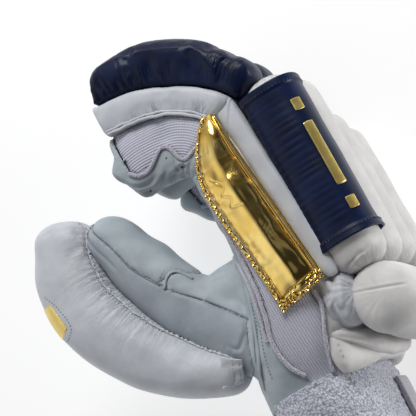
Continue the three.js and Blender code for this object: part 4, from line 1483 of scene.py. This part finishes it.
def roll_shape(f):
    high = roll_high(f)

    def shape(p):
        x, y, z = p.T
        round_it = np.arctan2(z - f.z, x - ROLL_X) * 13
        ends = gathers(round_it, np.minimum(y - ROLL_LOW, high - y).clip(0) + 1, 71 + int(f.z), 7.5, 5, 0.3)
        crease = y - ROLL_LOW - 3.2 - 0.22 * (x - 24) + 0.5 * wander(x, 5, 6)
        seam = 0.3 * np.exp(-((crease + 1.3) / 0.9) ** 2) - 0.6 * np.exp(-(crease / 0.6) ** 2)
        seam = seam * np.clip((x - 20) / 4, 0, 1) * np.clip((40 - x) / 4, 0, 1)
        return ends + seam + 0.25 * mottle(p, 72, 22)
    return shape


for f in FINGERS:
    roll = pad(f"{f.name}_knuckle_roll", 80, 48, roll_place(f), WHITE_LEATHER, roll_shape(f), 0.8,
               share=1 if f is INDEX else 0.5)
    x, y, z = points_of(roll).T
    end = np.minimum(y - ROLL_LOW, roll_high(f) - y).clip(0)
    tag(roll, np.arctan2(z - f.z, x - ROLL_X) * 13, end, 0.5 * np.clip(1 - end / 9, 0, 1))
    settle(roll, f"{f.name}_proximal_roll")

# %% [markdown]
# ## Navy band
# A sleeve of navy leather is slipped over the index finger's knuckle roll. It is open towards the hand,
# and its two ends are folded over and stitched. It is an open sheet, rolled from a grid and then given a
# thickness, so the edge of the leather shows. Its ripples fade towards the hems.

# %% Navy band
BAND_LOW, BAND_HIGH, BAND_BACK = 4.5, 84.5, 19.5
BAND_THICK, HEM = 1.2, 4.2
BAND_REACH = math.acos((BAND_BACK - ROLL_X) / (ROLL_DEEP + 0.3)) / (2 * math.pi)


def band_point(y, turn, lift):
    """A point of the sleeve, turn being its share of a full turn from the back towards the thumb side"""
    c, v = oval(turn, 2.5)
    return np.stack([ROLL_X + c * (ROLL_DEEP + lift), y, INDEX.z + v * (ROLL_WIDE + lift)], -1)


def band_place(s, a):
    y = BAND_LOW + (BAND_HIGH - BAND_LOW) * s
    turn = (a - 0.5) * 2 * BAND_REACH
    hem = 0.5 * (np.clip((HEM - (y - BAND_LOW)) / 0.5, 0, 1) + np.clip((HEM - (BAND_HIGH - y)) / 0.5, 0, 1))
    round_it = turn * 85
    inner = np.clip(np.minimum(y - BAND_LOW - 6, BAND_HIGH - 6 - y) / 4, 0, 1)
    mask = np.exp(-((turn - 0.31) / 0.085) ** 2) * np.clip(0.75 + 0.5 * wander(y + round_it, 95, 14), 0, 1)
    phase = 2 * math.pi * y / 3.3 + 1.5 * wander(y, 96, 11) + 0.05 * round_it
    ripples = -0.34 * (0.5 + 0.5 * np.cos(phase)) ** 2 * mask * inner
    flare = 0.7 * np.clip(1 - (y - BAND_LOW) / 7, 0, 1) ** 2
    return band_point(y, turn, hem + ripples + flare + 0.15 * wander(y + 0.6 * round_it, 97, 24) * inner)


band = surface("index_band", 150, 90, band_place, NAVY_LEATHER, closed=False)
bm = bmesh.new()
bm.from_mesh(band.data)
bm.normal_update()
face = max(bm.faces, key=lambda f: f.calc_center_median().x)
if face.normal.x < 0:
    bmesh.ops.reverse_faces(bm, faces=bm.faces)
bm.to_mesh(band.data)
bm.free()
modify(band, "SOLIDIFY", thickness=BAND_THICK * MM, offset=-1)
bake(band)
settle(band, "index_roll_band")

for word, y, lift in (("lower", BAND_LOW + 3.1, 0.95), ("upper", BAND_HIGH - 3.1, 0.6)):
    turn = np.linspace(-0.9, 0.98, 80) * BAND_REACH
    row = band_point(0 * turn + y, turn, lift)
    out = row - [ROLL_X, y, INDEX.z]
    row = Path(row, out / np.linalg.norm(out, axis=1)[:, None])
    settle(stitches(f"index_band_{word}_stitches", row, 1.9, 1.2, 0.2, NAVY_THREAD, 0))


# %% [markdown]
# ### Gold bars
# Three plain bars of pale gold film, short, long and short, are pressed on the band lengthwise. Film has
# a thickness and a rounded rim, so each bar is a thin closed plate that follows the band's round.

# %% Gold bars
# film pressed on by heat is less smooth than the foil leather, so its highlights are broad and soft
FILM = foil("pale_gold_heat_pressed_film", "efd98c", "dcc06a", 0.36)
BARS = [("lower_bar", 15, 21), ("long_bar", 27, 60), ("upper_bar", 66, 72)]
for name, low_end, high_end in BARS:
    def bar_place(s, a, low_end=low_end, high_end=high_end):
        c, v = oval(a, 12)
        along = (s - 0.5) * (high_end - low_end)
        size = dome(s, 0, 1, 0.4 / (high_end - low_end), 2)
        return band_point((low_end + high_end) / 2 + along, 0.135 + 0.03 * c * size, 0.25 + 0.28 * v * size)

    settle(surface(f"index_band_{name}", 60, 40, bar_place, FILM))

# %% [markdown]
# ## Hand roll
# One thick roll lies across the back of the hand, from the thumb side to the little finger. It bows
# away from the hand and sags towards the wrist in its middle. A fine seam runs over its near end, which
# is drawn together in soft pleats.

# %% Hand roll
HAND_ROLL = {"x": 34.3, "y": -24, "radius": 16.4, "low": 0, "high": 112, "bow": 3, "sag": 5.5}


def hand_roll_place(s, a):
    k = HAND_ROLL
    z = k["low"] + (k["high"] - k["low"]) * spread(s)
    middle = (k["low"] + k["high"]) / 2
    bow = k["bow"] * (np.cos((z - middle) / (k["high"] - k["low"]) * math.pi) - 0.5)
    sag = k["sag"] * np.sin(np.clip(z / (k["high"] - 6), 0, 1) * math.pi)
    size = dome(z, k["low"], k["high"], 12, 2.2)
    c, v = oval(a, 2.15)
    r = (k["radius"] - 0.6) * size
    return np.stack([k["x"] + bow + c * r, k["y"] - sag + v * r, z], -1)


HAND_SEAM = (16.8, 0.36)       # how far the end's seam lies below y = 0 at x = 22, and its slope


def hand_roll_shape(p):
    k = HAND_ROLL
    x, y, z = p.T
    angle = np.arctan2(y - k["y"], x - k["x"])
    end = k["high"] - z
    pull = gathers(angle * 16, end.clip(0) + 3, 101, 6, 6, 0.3) * np.clip(np.abs(angle) / 2.2, 0.2, 1)
    across = y + HAND_SEAM[0] + HAND_SEAM[1] * (x - 22)
    seam = (0.15 * np.exp(-((across - 1.2) / 0.8) ** 2) - 0.5 * np.exp(-(across / 0.45) ** 2)) * (
        np.clip((z - k["high"] + 14) / 5, 0, 1) * np.clip((46 - x) / 3, 0, 1))
    return pull + seam + 0.2 * mottle(p, 102, 30)


hand_roll = pad("hand_roll_pad", 90, 64, hand_roll_place, WHITE_LEATHER, hand_roll_shape, 0.8,
                levels=2, share=0.3)
settle(hand_roll, "hand_roll")

# %% [markdown]
# ## Wrist pads and the gathered corner
# Two flat pads lie between the hand roll and the cuff, bent round the back of the wrist, with a pointed
# end towards the thumb. In the corner between them and the roll, the loose leather is gathered in pleats
# towards the roll's end. It is made as a low dome, which is enough to carry them.

# %% Wrist pads and the gathered corner
WRIST = {"x": -17.5, "z": 58.5, "half_x": 28, "half_z": 49}
WRIST_PADS = {
    "upper": {"y": -27.6, "mid": -38, "high": 15, "thick": 10, "reach": 63, "lift": 1.2, "lean": -0.35,
              "point": 0.3, "waist": 0},
    "lower": {"y": -35.2, "mid": -41, "high": 20, "thick": 8.5, "reach": 66, "lift": -1.2, "lean": 0.1,
              "point": 0.05, "waist": 0.5},
}


def wrist_place(k):
    def place(s, a):
        share = spread(s)
        reach = np.interp(share, (0, 1), (k["reach"], -k["reach"]))
        wide, tall = oval(reach / 360, 3)
        out = np.stack([wide ** 2 / WRIST["half_x"], 0 * wide, tall * np.abs(tall) / WRIST["half_z"]], -1)
        out /= np.linalg.norm(out, axis=1)[:, None]
        taper = dome(share, 0, 1, k["point"], 1.6)
        centre = np.stack([WRIST["x"] + WRIST["half_x"] * wide,
                           k["y"] + (k["mid"] - k["y"]) * np.sin(share * math.pi),
                           WRIST["z"] + WRIST["half_z"] * tall], -1) + out * (k["lift"] + k["thick"] * 0.4)
        across = np.array([0, 1.0, 0]) + out * k["lean"]
        across /= np.linalg.norm(across, axis=1)[:, None]
        side = np.cross(out, across)
        outer = np.cross(across, side)
        outer /= np.linalg.norm(outer, axis=1)[:, None]
        c, v = oval(a, 2.5)
        slim = 1 - k["waist"] * np.sin(share * math.pi) ** 2
        return (centre + outer * (c * k["thick"] / 2 * taper)[:, None]
                + across * (v * k["high"] / 2 * taper * slim)[:, None])
    return place


# %% [markdown]
# ### Leather of the wrist pads and the corner
# The pads crease where the wrist bends, outwards from the thumb end. In the corner, pleats run from
# every side to the point where the roll's end is sewn down, deepest near it.

# %% Leather of the wrist pads and the corner
LOBE_CREASES = [Path(rows) for rows in (
    # x, y near the thumb side
    [(5, -28.5), (10.5, -33), (16, -37.5), (21, -41)], [(6, -31.5), (10, -36.5), (12.5, -40.5)],
    [(7, -26.5), (13, -29.5), (20, -31.5)],
)]


def lobe_shape(p):
    """Creases that run out from the thumb end, and soft hollows"""
    creases = sum(fold_depth(path, p, 0.9) for path in LOBE_CREASES)
    return 0.6 * creases * np.clip((p[:, 2] - 80) / 8, 0, 1) + 0.3 * mottle(p, 111, 17)


GATHER = {"middle": (15, -14.5, 99), "half": (11.5, 15, 12), "knot": (25.5, -15.5)}
# Each piece rides on the one body of the model and, where it stands for a plain solid, hides that solid. Its
# size is printed.


def gather_place(s, a):
    """A low dome over the corner between the strip, the hand roll and the wrist pads"""
    c, v = oval(a, 2)
    wide = np.sin(math.pi * s)
    ball = np.stack([wide * c, wide * v, np.cos(math.pi * s)], -1)
    return np.array(GATHER["middle"]) + ball * GATHER["half"]


def gather_shape(p):
    """Pleats that run to the place where the roll's end is sewn down"""
    away = p[:, :2] - GATHER["knot"]
    far, angle = np.hypot(*away.T), np.arctan2(away[:, 1], away[:, 0])
    pleats = gathers(angle * 14 + 60, (far - 4).clip(0), 171, 4.4, 7, 1.3)
    return pleats + 0.9 * sum(fold_depth(path, p, 1.4) for path in BACK_FOLDS) + 0.5 * mottle(p, 173, 11)


# %% [markdown]
# ### Making the corner and the wrist pads
# The corner is filled less than the pads, since it is only loose leather. Three short stitches of thread
# on the lower pad lie on its finished surface.

# %% Make the corner and the wrist pads
# painted shade: this corner is the white back leather, given the greyer pearl leather so that it looks shaded
gathered = pad("back_gathered_corner", 40, 48, gather_place, THUMB_LEATHER, gather_shape, 0.5, voxel=1.2)
settle(gathered)

for word, k in WRIST_PADS.items():
    lobe = pad(f"wrist_{word}_lobe", 90, 40, wrist_place(k), WHITE_LEATHER, lobe_shape, 0.6, voxel=1.6)
    settle(lobe, f"wrist_pad_{word}")
lobe_skin = skin_of(lobe)
for k, start in enumerate(((5.4, -33.4, 110), (5, -36.2, 110), (4.2, -39, 109))):
    row = laid([start, np.array(start) + [1.3, 0.9, -0.3]], 0.15, lobe_skin, 0.4)
    settle(tube(f"wrist_pad_stitch_{k + 1}", row, 0.3, THREAD))

# %% [markdown]
# ## Foil panel
# A long padded panel of gold foil leather covers the thumb side of the index finger, pointed towards the
# fingertip. Its padding is blown up like the rolls, but capped at half a millimetre, and the dents that
# catch the light are pressed in afterwards, each from a place, a size and a depth.

# %% Foil panel
PANEL_Z, PANEL_START, PANEL_END = 115.4, -6.6, 87.4
PANEL_ROWS = np.array([
    # y, x of the middle, half width, thickness
    (-7, 4.2, 11.4, 2), (-4, 4.2, 11.8, 4.2), (8, 3.2, 12, 6), (42, -0.6, 12.4, 6.6), (58, -1.8, 11.8, 6.4),
    (71, -0.4, 9, 5.6), (81, 2.6, 5, 3.8), (88, 5.6, 1.4, 1.8),
])


def slant(x, y):
    """The panel's lower end runs up towards the back of the hand"""
    return y + 0.2 * (x - 4) * np.clip((14 - y) / 20, 0, 1)


def panel_point(y, across, lift=0.0):
    """A point of the panel's face, across being -1 at its palm edge and 1 at its back edge"""
    x, half, thick = (through(PANEL_ROWS[:, 0], PANEL_ROWS[:, k], y) for k in (1, 2, 3))
    x = x + across * half
    return np.stack([x, slant(x, y), PANEL_Z + lift + thick * (1 - np.abs(across) ** 2.3) ** (1 / 2.3)], -1)


def panel_place(s, a):
    y = PANEL_START + (PANEL_END - PANEL_START) * (0.5 * s + 0.5 * spread(s))
    x, half, thick = (through(PANEL_ROWS[:, 0], PANEL_ROWS[:, k], y) for k in (1, 2, 3))
    close = dome(y, PANEL_START, PANEL_END, 2.6)
    c, v = oval(a, 2.3)
    x = x + c * (half - 0.9) * close
    return np.stack([x, slant(x, y), PANEL_Z + v * thick * close], -1)


def panel_edge(p):
    y = p[:, 1]
    x, half = (through(PANEL_ROWS[:, 0], PANEL_ROWS[:, k], y) for k in (1, 2))
    return (p[:, 0] - x) / np.maximum(half, 1)


# %% [markdown]
# ### Dents of the foil panel
# Foil leather keeps every dent. Four broad hollows, one sharp crinkle and a row of gathers at the palm
# edge break up the reflection, so the panel reads as metal on leather.

# %% Dents of the foil panel
FOIL_CRINKLE = Path([(-7.5, 58), (-3.5, 51.5), (-6.2, 49), (-2.4, 45.4), (-4.6, 42.5), (0.6, 40.5)])
FOIL_DENTS = [
    # along, across, their reaches, depth
    (70, -0.35, 7, 0.3, 1.3), (57, -0.1, 5, 0.25, 0.8), (48, -0.45, 6, 0.25, 1.0), (22, -0.35, 9, 0.2, 0.6),
]


def panel_shape(p):
    across, y = panel_edge(p), p[:, 1]
    top = np.clip((p[:, 2] - PANEL_Z) / 2, 0, 1)
    foot = slant(8 - p[:, 0], y) + 3.2
    rim = -0.8 * np.exp(-((across + 0.8) / 0.06) ** 2) - 0.8 * np.exp(-(foot / 0.7) ** 2)
    left = gathers(y, (across + 0.8).clip(0) * 12, 121, 5.1, 3.5, 0.7)
    dents = sum(-deep * np.exp(-((y - at) / tall) ** 2 - ((across - mid) / wide) ** 2)
                for at, mid, tall, wide, deep in FOIL_DENTS)
    ridge = 0.9 * np.exp(-((across - 0.12) / 0.2) ** 2) * np.clip((74 - y) / 20, 0, 1)
    crinkle = -0.28 * np.exp(-(FOIL_CRINKLE.nearest(p[:, :2])[1] / 0.5) ** 2)
    return top * (rim + left + dents + ridge + crinkle + 0.3 * mottle(p, 123, 20))


foil_panel = pad("index_foil_panel", 100, 56, panel_place, GOLD_FOIL, panel_shape, 0.5, voxel=1.5,
                 levels=2, smooth=2)
settle(foil_panel, "index_side_panel")

# %% [markdown]
# ### Frills and piping of the foil panel
# The foil is sewn down through its folded edge, which crumples into a bright frill along the palm side
# and, in several rows, across the lower end. The back edge is finished with two thin rows of piping.

# %% Frills and piping of the foil panel
y = np.linspace(86.5, -5.5, 100)
settle(frill("foil_side_frill", Path(panel_point(y, -0.95, -0.3)), 0.8, 0.18, 1.8, 0.32, GOLD_FOIL, 51, 0.45))
settle(frill("foil_side_frill_2", Path(panel_point(y, -0.87, -0.6)), 0.6, 0.16, 2.7, 0.3, GOLD_FOIL, 52, 0.5))
x = np.linspace(-8.6, 16, 30)
foot = np.stack([x, slant(x, 0 * x - 6.8), PANEL_Z + 2.2 - 0.012 * (x - 4) ** 2], -1)
for k, (step, half, period) in enumerate(((0, 1.0, 2.9), (1.1, 0.8, 2.1), (2.2, 0.8, 3.3), (3.2, 0.5, 2.4))):
    rising = foot + np.array([0, 1, 0.45]) * step + np.array([0, 0.5, 0]) * wander(x, 160 + k, 5)[:, None]
    settle(frill(f"foil_lower_frill_{k + 1}", Path(rising), half, 0.2, period, 0.45, GOLD_FOIL,
                 53 + 3 * k, 0.3))
for k, (across, radius) in enumerate(((0.84, 0.5), (0.965, 0.6))):
    y = np.linspace(84, -4.5, 80)
    settle(tube(f"foil_piping_{k + 1}", Path(panel_point(y, across, 0.1)), radius, GOLD_FOIL, sides=12))


# %% [markdown]
# ### Strip beside the foil panel
# A white padded strip fills the space between the foil panel and the navy band, flat on top and only a
# little rounded at its sides, with one soft fold where the finger bends.

# %% Strip beside the foil panel
STRIP_START, STRIP_END = -6, 91
STRIP_ROWS = np.array([
    # y, edge at the panel, edge at the band
    (-6, 15.6, 22.4), (5, 13.7, 22.6), (30, 11.2, 21.4), (47, 9.7, 20), (66, 8.3, 18.7), (76, 7.4, 18),
    (92, 5.6, 17.2),
])


def side_wall_place(s, a):
    y = STRIP_START + (STRIP_END - STRIP_START) * spread(s)
    near, far = (through(STRIP_ROWS[:, 0], STRIP_ROWS[:, k], y) for k in (1, 2))
    size = dome(y, STRIP_START, STRIP_END, 4.5)
    c, v = oval(a, 5.0)
    return np.stack([(near + far) / 2 + c * (far - near) / 2 * size, y, 109.4 - 0.8 * c + v * 3.2 * size], -1)


def side_wall_shape(p):
    fold = p[:, 1] - 81 - 1.5 * (p[:, 0] - 12.5)
    fold = 0.2 * np.exp(-((fold - 2) / 1.2) ** 2) - 0.25 * np.exp(-(fold / 0.9) ** 2)
    return 0.15 * mottle(p, 131, 12) + fold


side_wall = pad("index_wall_strip", 90, 32, side_wall_place, THUMB_LEATHER, side_wall_shape, 0.3,
                voxel=1.3, smooth=1)
settle(side_wall, "index_side_wall")

# %% [markdown]
# ## Thumb roll
# The largest pad is one long banana-shaped roll over the back of the thumb. A line in the thumb's plane
# carries its changing section, and the seam towards the stall is held while the air swells the rest.
# From that seam many gathers run out, longest in the middle of the bend.

# %% Thumb roll
THUMB_ROLL = np.array([
    # x, y, half depth, half width
    (-42.5, -22.5, 8.6, 12.5), (-48, -18.2, 10.8, 14.6), (-61, -9.3, 13.7, 16.6), (-77.8, 6.7, 16.7, 18),
    (-90.2, 25.4, 18.3, 18.5), (-96.6, 44, 18.6, 18), (-96.8, 60, 17.7, 17.2), (-92.8, 73, 16, 15.6),
    (-88.5, 85, 15, 14.5),
])


def thumb_roll_shape(p):
    along, gap = THUMB_SEAM.nearest(p)
    middle = 0.25 + 0.75 * np.exp(-((along - 62) / 24) ** 2)
    seam = gathers(along, gap, 141, 2.7, 8, 0.75) * middle - 1.0 * np.clip(1 - gap / 3, 0, 1)
    return seam + 0.3 * mottle(p, 142, 34)


thumb_roll = pad("thumb_roll_pad", 110, 72, thumb_like(THUMB_ROLL, 5, 11, 2.4), THUMB_LEATHER,
                 thumb_roll_shape, 1.0, pins=lambda p: np.clip(1.6 - THUMB_SEAM.nearest(p)[1] / 2, 0, 1),
                 levels=2, share=0.5)
along, gap = THUMB_SEAM.nearest(points_of(thumb_roll))
tag(thumb_roll, along, gap, np.exp(-gap / 8) * (0.3 + 1.1 * np.exp(-((along - 62) / 26) ** 2)))
settle(thumb_roll, "thumb_roll")

# %% [markdown]
# ### Seam, patch and flap of the thumb roll
# The seam stands up as a thin ruffle with a row of stitches beside it. A small gold patch is let into
# the roll's outer side. At the roll's root the raw end of the leather is folded over and sewn down.

# %% Seam, patch and flap of the thumb roll
roll_skin = skin_of(thumb_roll)
seam_line = laid(THUMB_SEAM.points[5:], 0.15, roll_skin)
settle(frill("thumb_gathered_seam", seam_line, 0.75, 0.25, 2.6, 0.2, THUMB_LEATHER, 61, 0.3),
       "thumb_seam_ruffle")
row = laid(THUMB_SEAM.read(np.arange(38, THUMB_SEAM.length - 6, 1.5)) + [-2.9, -1.2, 0], 0, roll_skin)
settle(stitches("thumb_seam_stitches", row, 1.7, 0.7, 0.24, SEWN, 0.02))

PATCH_CORNERS = np.array([(-108.3, 51, 109.8), (-105.4, 36, 112), (-116, 52, 101), (-112.5, 33.5, 104)])


def patch_place(s, a):
    """A thin plate let into the roll, rounded at its rim"""
    c, v = oval(a, 6)
    u, w = (s * 0.98 + 0.01)[:, None], (c * 0.5 + 0.5)[:, None]
    near, far = (PATCH_CORNERS[i] * (1 - u) + PATCH_CORNERS[i + 1] * u for i in (0, 2))
    p, n = on_skin(near * (1 - w) + far * w, 0, roll_skin)
    return p + n * (0.05 + 0.3 * v * dome(s, 0, 1, 0.03))[:, None]


settle(surface("thumb_gold_patch", 40, 48, patch_place, FILM), "thumb_patch")
row = laid([(-109.5, 56, 108.9), (-106, 49.4, 110.6), (-103.9, 43.3, 111.4), (-102.8, 37.6, 112),
            (-103.4, 34.6, 111.9), (-106.5, 32.6, 110.7), (-110.5, 31.5, 107)], 0, roll_skin)
settle(stitches("thumb_patch_stitches", row, 1.7, 0.8, 0.3, SEWN, 0.02))

FLAP = np.array([(-45.5, -11.5, 108.6), (-37.3, -17.6, 108.3), (-52.5, -24.8, 106), (-43, -26.4, 102)])


def flap_place(s, a):
    """The raw leather end that is folded over and sewn down at the root of the roll"""
    c, v = oval(a, 8)
    u, w = s[:, None], (c * 0.5 + 0.5)[:, None]
    near, far = (FLAP[i] * (1 - w) + FLAP[i + 1] * w for i in (0, 2))
    p = near * (1 - u) + far * u
    ripple = 0.18 * np.sin(5 * s * math.pi + 2 * c) + 0.2 * wander(s * 20, 64, 6)
    return p + np.array([0, 0, 1]) * (0.5 + ripple + 0.55 * v * dome(s, 0, 1, 0.03))[:, None]


settle(surface("thumb_root_flap", 50, 40, flap_place, THUMB_LEATHER))
for k, share in enumerate((0.55, 0.85)):
    row = Path([FLAP[i] * (1 - share) + FLAP[i + 1] * share + [0, 0, 1.1] for i in (0, 2)])
    settle(stitches(f"thumb_root_stitches_{k + 1}", row, 1.9, 0.9, 0.3, THREAD, 0))

# %% [markdown]
# ## Cuff
# The wrist ends in a wide tube of towelling, doubled over at its lower edge. One grid goes out along the
# cuff, round the edge and back inside. Most of its rows lie outside, where small random lumps of one
# loop's width roughen the outline that a bump alone would leave smooth.

# %% Cuff
CUFF_TOP, CUFF_LONG, CUFF_HALF_WALL = -42, 52, 2
CUFF = np.array([
    # y, palm face, back face, low edge, high edge
    (-44.35, -45.5, 8.5, 9.5, 107.5), (-51, -46.5, 9.5, 9, 108), (-72, -43, 9, 11.5, 105),
    (-96, -44, 10, 10.5, 106),
])


def cuff_point(y, a, grow):
    palm, back, low, high = (through(-CUFF[:, 0], CUFF[:, k], -y) for k in (1, 2, 3, 4))
    c, v = oval(a, 2.5)
    return np.stack([(palm + back) / 2 + c * ((back - palm) / 2 + grow), y,
                     (low + high) / 2 + v * ((high - low) / 2 + grow)], -1)


CUFF_TURN = (0.7, 0.78)      # the lower edge turns in between these shares of the rows


def cuff_place(s, a):
    """Out along the cuff, round its rolled lower edge and back inside"""
    start, end = CUFF_TURN
    turn = np.clip((s - start) / (end - start), 0, 1) * math.pi
    y = CUFF_TOP - CUFF_LONG * np.clip(np.minimum(s / start, (1 - s) / (1 - end)), 0, 1)
    y = y - CUFF_HALF_WALL * np.sin(turn)
    p = cuff_point(y, a, CUFF_HALF_WALL * (np.cos(turn) - 1))
    curl = 0.26 * mottle(p, 151, 1.7) + 0.22 * mottle(p, 152, 4)
    middle = cuff_point(y, a, -CUFF_HALF_WALL)
    away = p - middle
    away /= np.maximum(np.linalg.norm(away, axis=1), 1e-9)[:, None]
    return p + away * curl[:, None]


settle(surface("towelling_cuff", 120, 330, cuff_place, TERRY, ends="bridge"), "cuff")

# %% [markdown]
# ## Strap
# A flat hook-and-loop strap is stretched round the cuff, from the back to the little-finger side. It is
# modelled directly as a thin closed band on the cuff's own section, and a row of points is worked out
# along its middle.

# %% Strap
STRAP_Y, STRAP_WIDE, STRAP_LIFT = -72.0, 35, 1.6
STRAP_FROM, STRAP_TO = 0.006, -0.438        # shares of a full turn round the cuff


def strap_place(s, a):
    """A flat band, rounded in section, on the cuff from the back round the little-finger side"""
    c, v = oval(a, 5)
    turn = STRAP_FROM + (STRAP_TO - STRAP_FROM) * s
    return cuff_point(STRAP_Y + STRAP_WIDE / 2 * c, turn, STRAP_LIFT + 1.1 * v)


strap = surface("wrist_strap", 120, 32, strap_place, STRAP)
settle(strap, "strap")
around = cuff_point(np.full(200, STRAP_Y), np.linspace(STRAP_FROM, STRAP_TO, 200), STRAP_LIFT)

# %% [markdown]
# ## Table and light
# The glove lies on a white board under two soft lamps. Soft bright patches of the room around it stand
# for white walls and reflectors, which the gold foil mirrors. The board glows a little, as a light table
# does, so the shadows under the glove stay pale.

# %% Lamps and room
MIDDLE = Vector((0, 0, 60))


def lamp(name, sideways, upwards, outwards, size, power):
    """A soft round lamp, placed along the camera's own axes in mm and aimed at the glove"""
    place = MIDDLE + right * sideways + above * upwards + toward * outwards
    light = bpy.data.objects.new(name, bpy.data.lights.new(name, "AREA"))
    scene.collection.objects.link(light)
    light.data.shape = "DISK"
    light.data.size = size
    light.data.energy = power
    light.location = place * MM
    light.rotation_mode = "QUATERNION"
    light.rotation_quaternion = (MIDDLE - place).to_track_quat("-Z", "Y")
    return light


# metres and watts: a large key lamp above and to the left, and a weaker one from the right for the edges
lamp("key_softbox", -330, 760, 520, 0.42, 5.3)
lamp("edge_strip", 760, 230, 220, 0.3, 4.7)

room = bpy.data.worlds.new("room")
scene.world = room
room.use_nodes = True
room.node_tree.nodes.clear()
sky = put(room, "TexCoord").outputs["Generated"]
glow = 0.14
SKY_PATCHES = (
    # direction along the camera's axes, cosines of the inner and outer edge, brightness
    ((-0.92, 0.15, 0.36), 0.93, 0.62, 0.42), ((-0.25, 0.95, 0.1), 0.97, 0.7, 0.8),
    ((-0.78, -0.6, 0.15), 0.95, 0.55, 0.5), ((0.1, 0.5, 0.86), 0.998, 0.985, 0.16),
    ((-0.05, 0.42, 0.9), 0.9, 0.6, -0.11),
)
for way, inner, outer, strength in SKY_PATCHES:
    ahead = right * way[0] + above * way[1] + toward * way[2]
    facing = put(room, "VectorMath", {"operation": "DOT_PRODUCT", 1: ahead.normalized()}, _0=sky)
    patch = put(room, "MapRange", {"From Min": outer, "From Max": inner, "To Max": strength,
                                   "interpolation_type": "SMOOTHSTEP"}, Value=facing.outputs["Value"])
    total = put(room, "Math",
                {"operation": "ADD", 1: glow} if isinstance(glow, float) else {"operation": "ADD"},
                _0=patch.outputs[0])
    if not isinstance(glow, float):
        room.node_tree.links.new(glow, total.inputs[1])
    glow = total.outputs[0]
backdrop = put(room, "Background", {"Color": [0.97, 0.98, 1, 1]}, Strength=glow)
room.node_tree.links.new(backdrop.outputs[0], put(room, "OutputWorld").inputs["Surface"])

# %% [markdown]
# ### The white board
# The board is matt and faintly luminous. It is there for the picture alone, and is no part of the glove.

# %% Table
board = new_material("white_light_table")
shader = put(board, "BsdfPrincipled", {
    "Base Color": linear("b4b4b4"), "Roughness": 0.9,
    "Emission Color": [1, 1, 1, 1], "Emission Strength": 0.62})
board.node_tree.links.new(shader.outputs["BSDF"], put(board, "OutputMaterial").inputs["Surface"])
bm = bmesh.new()
bmesh.ops.create_grid(bm, x_segments=1, y_segments=1, size=3)
mesh = bpy.data.meshes.new("table")
bm.to_mesh(mesh)
bm.free()
table = link("table", mesh, board)
scene.view_settings.view_transform = "Standard"
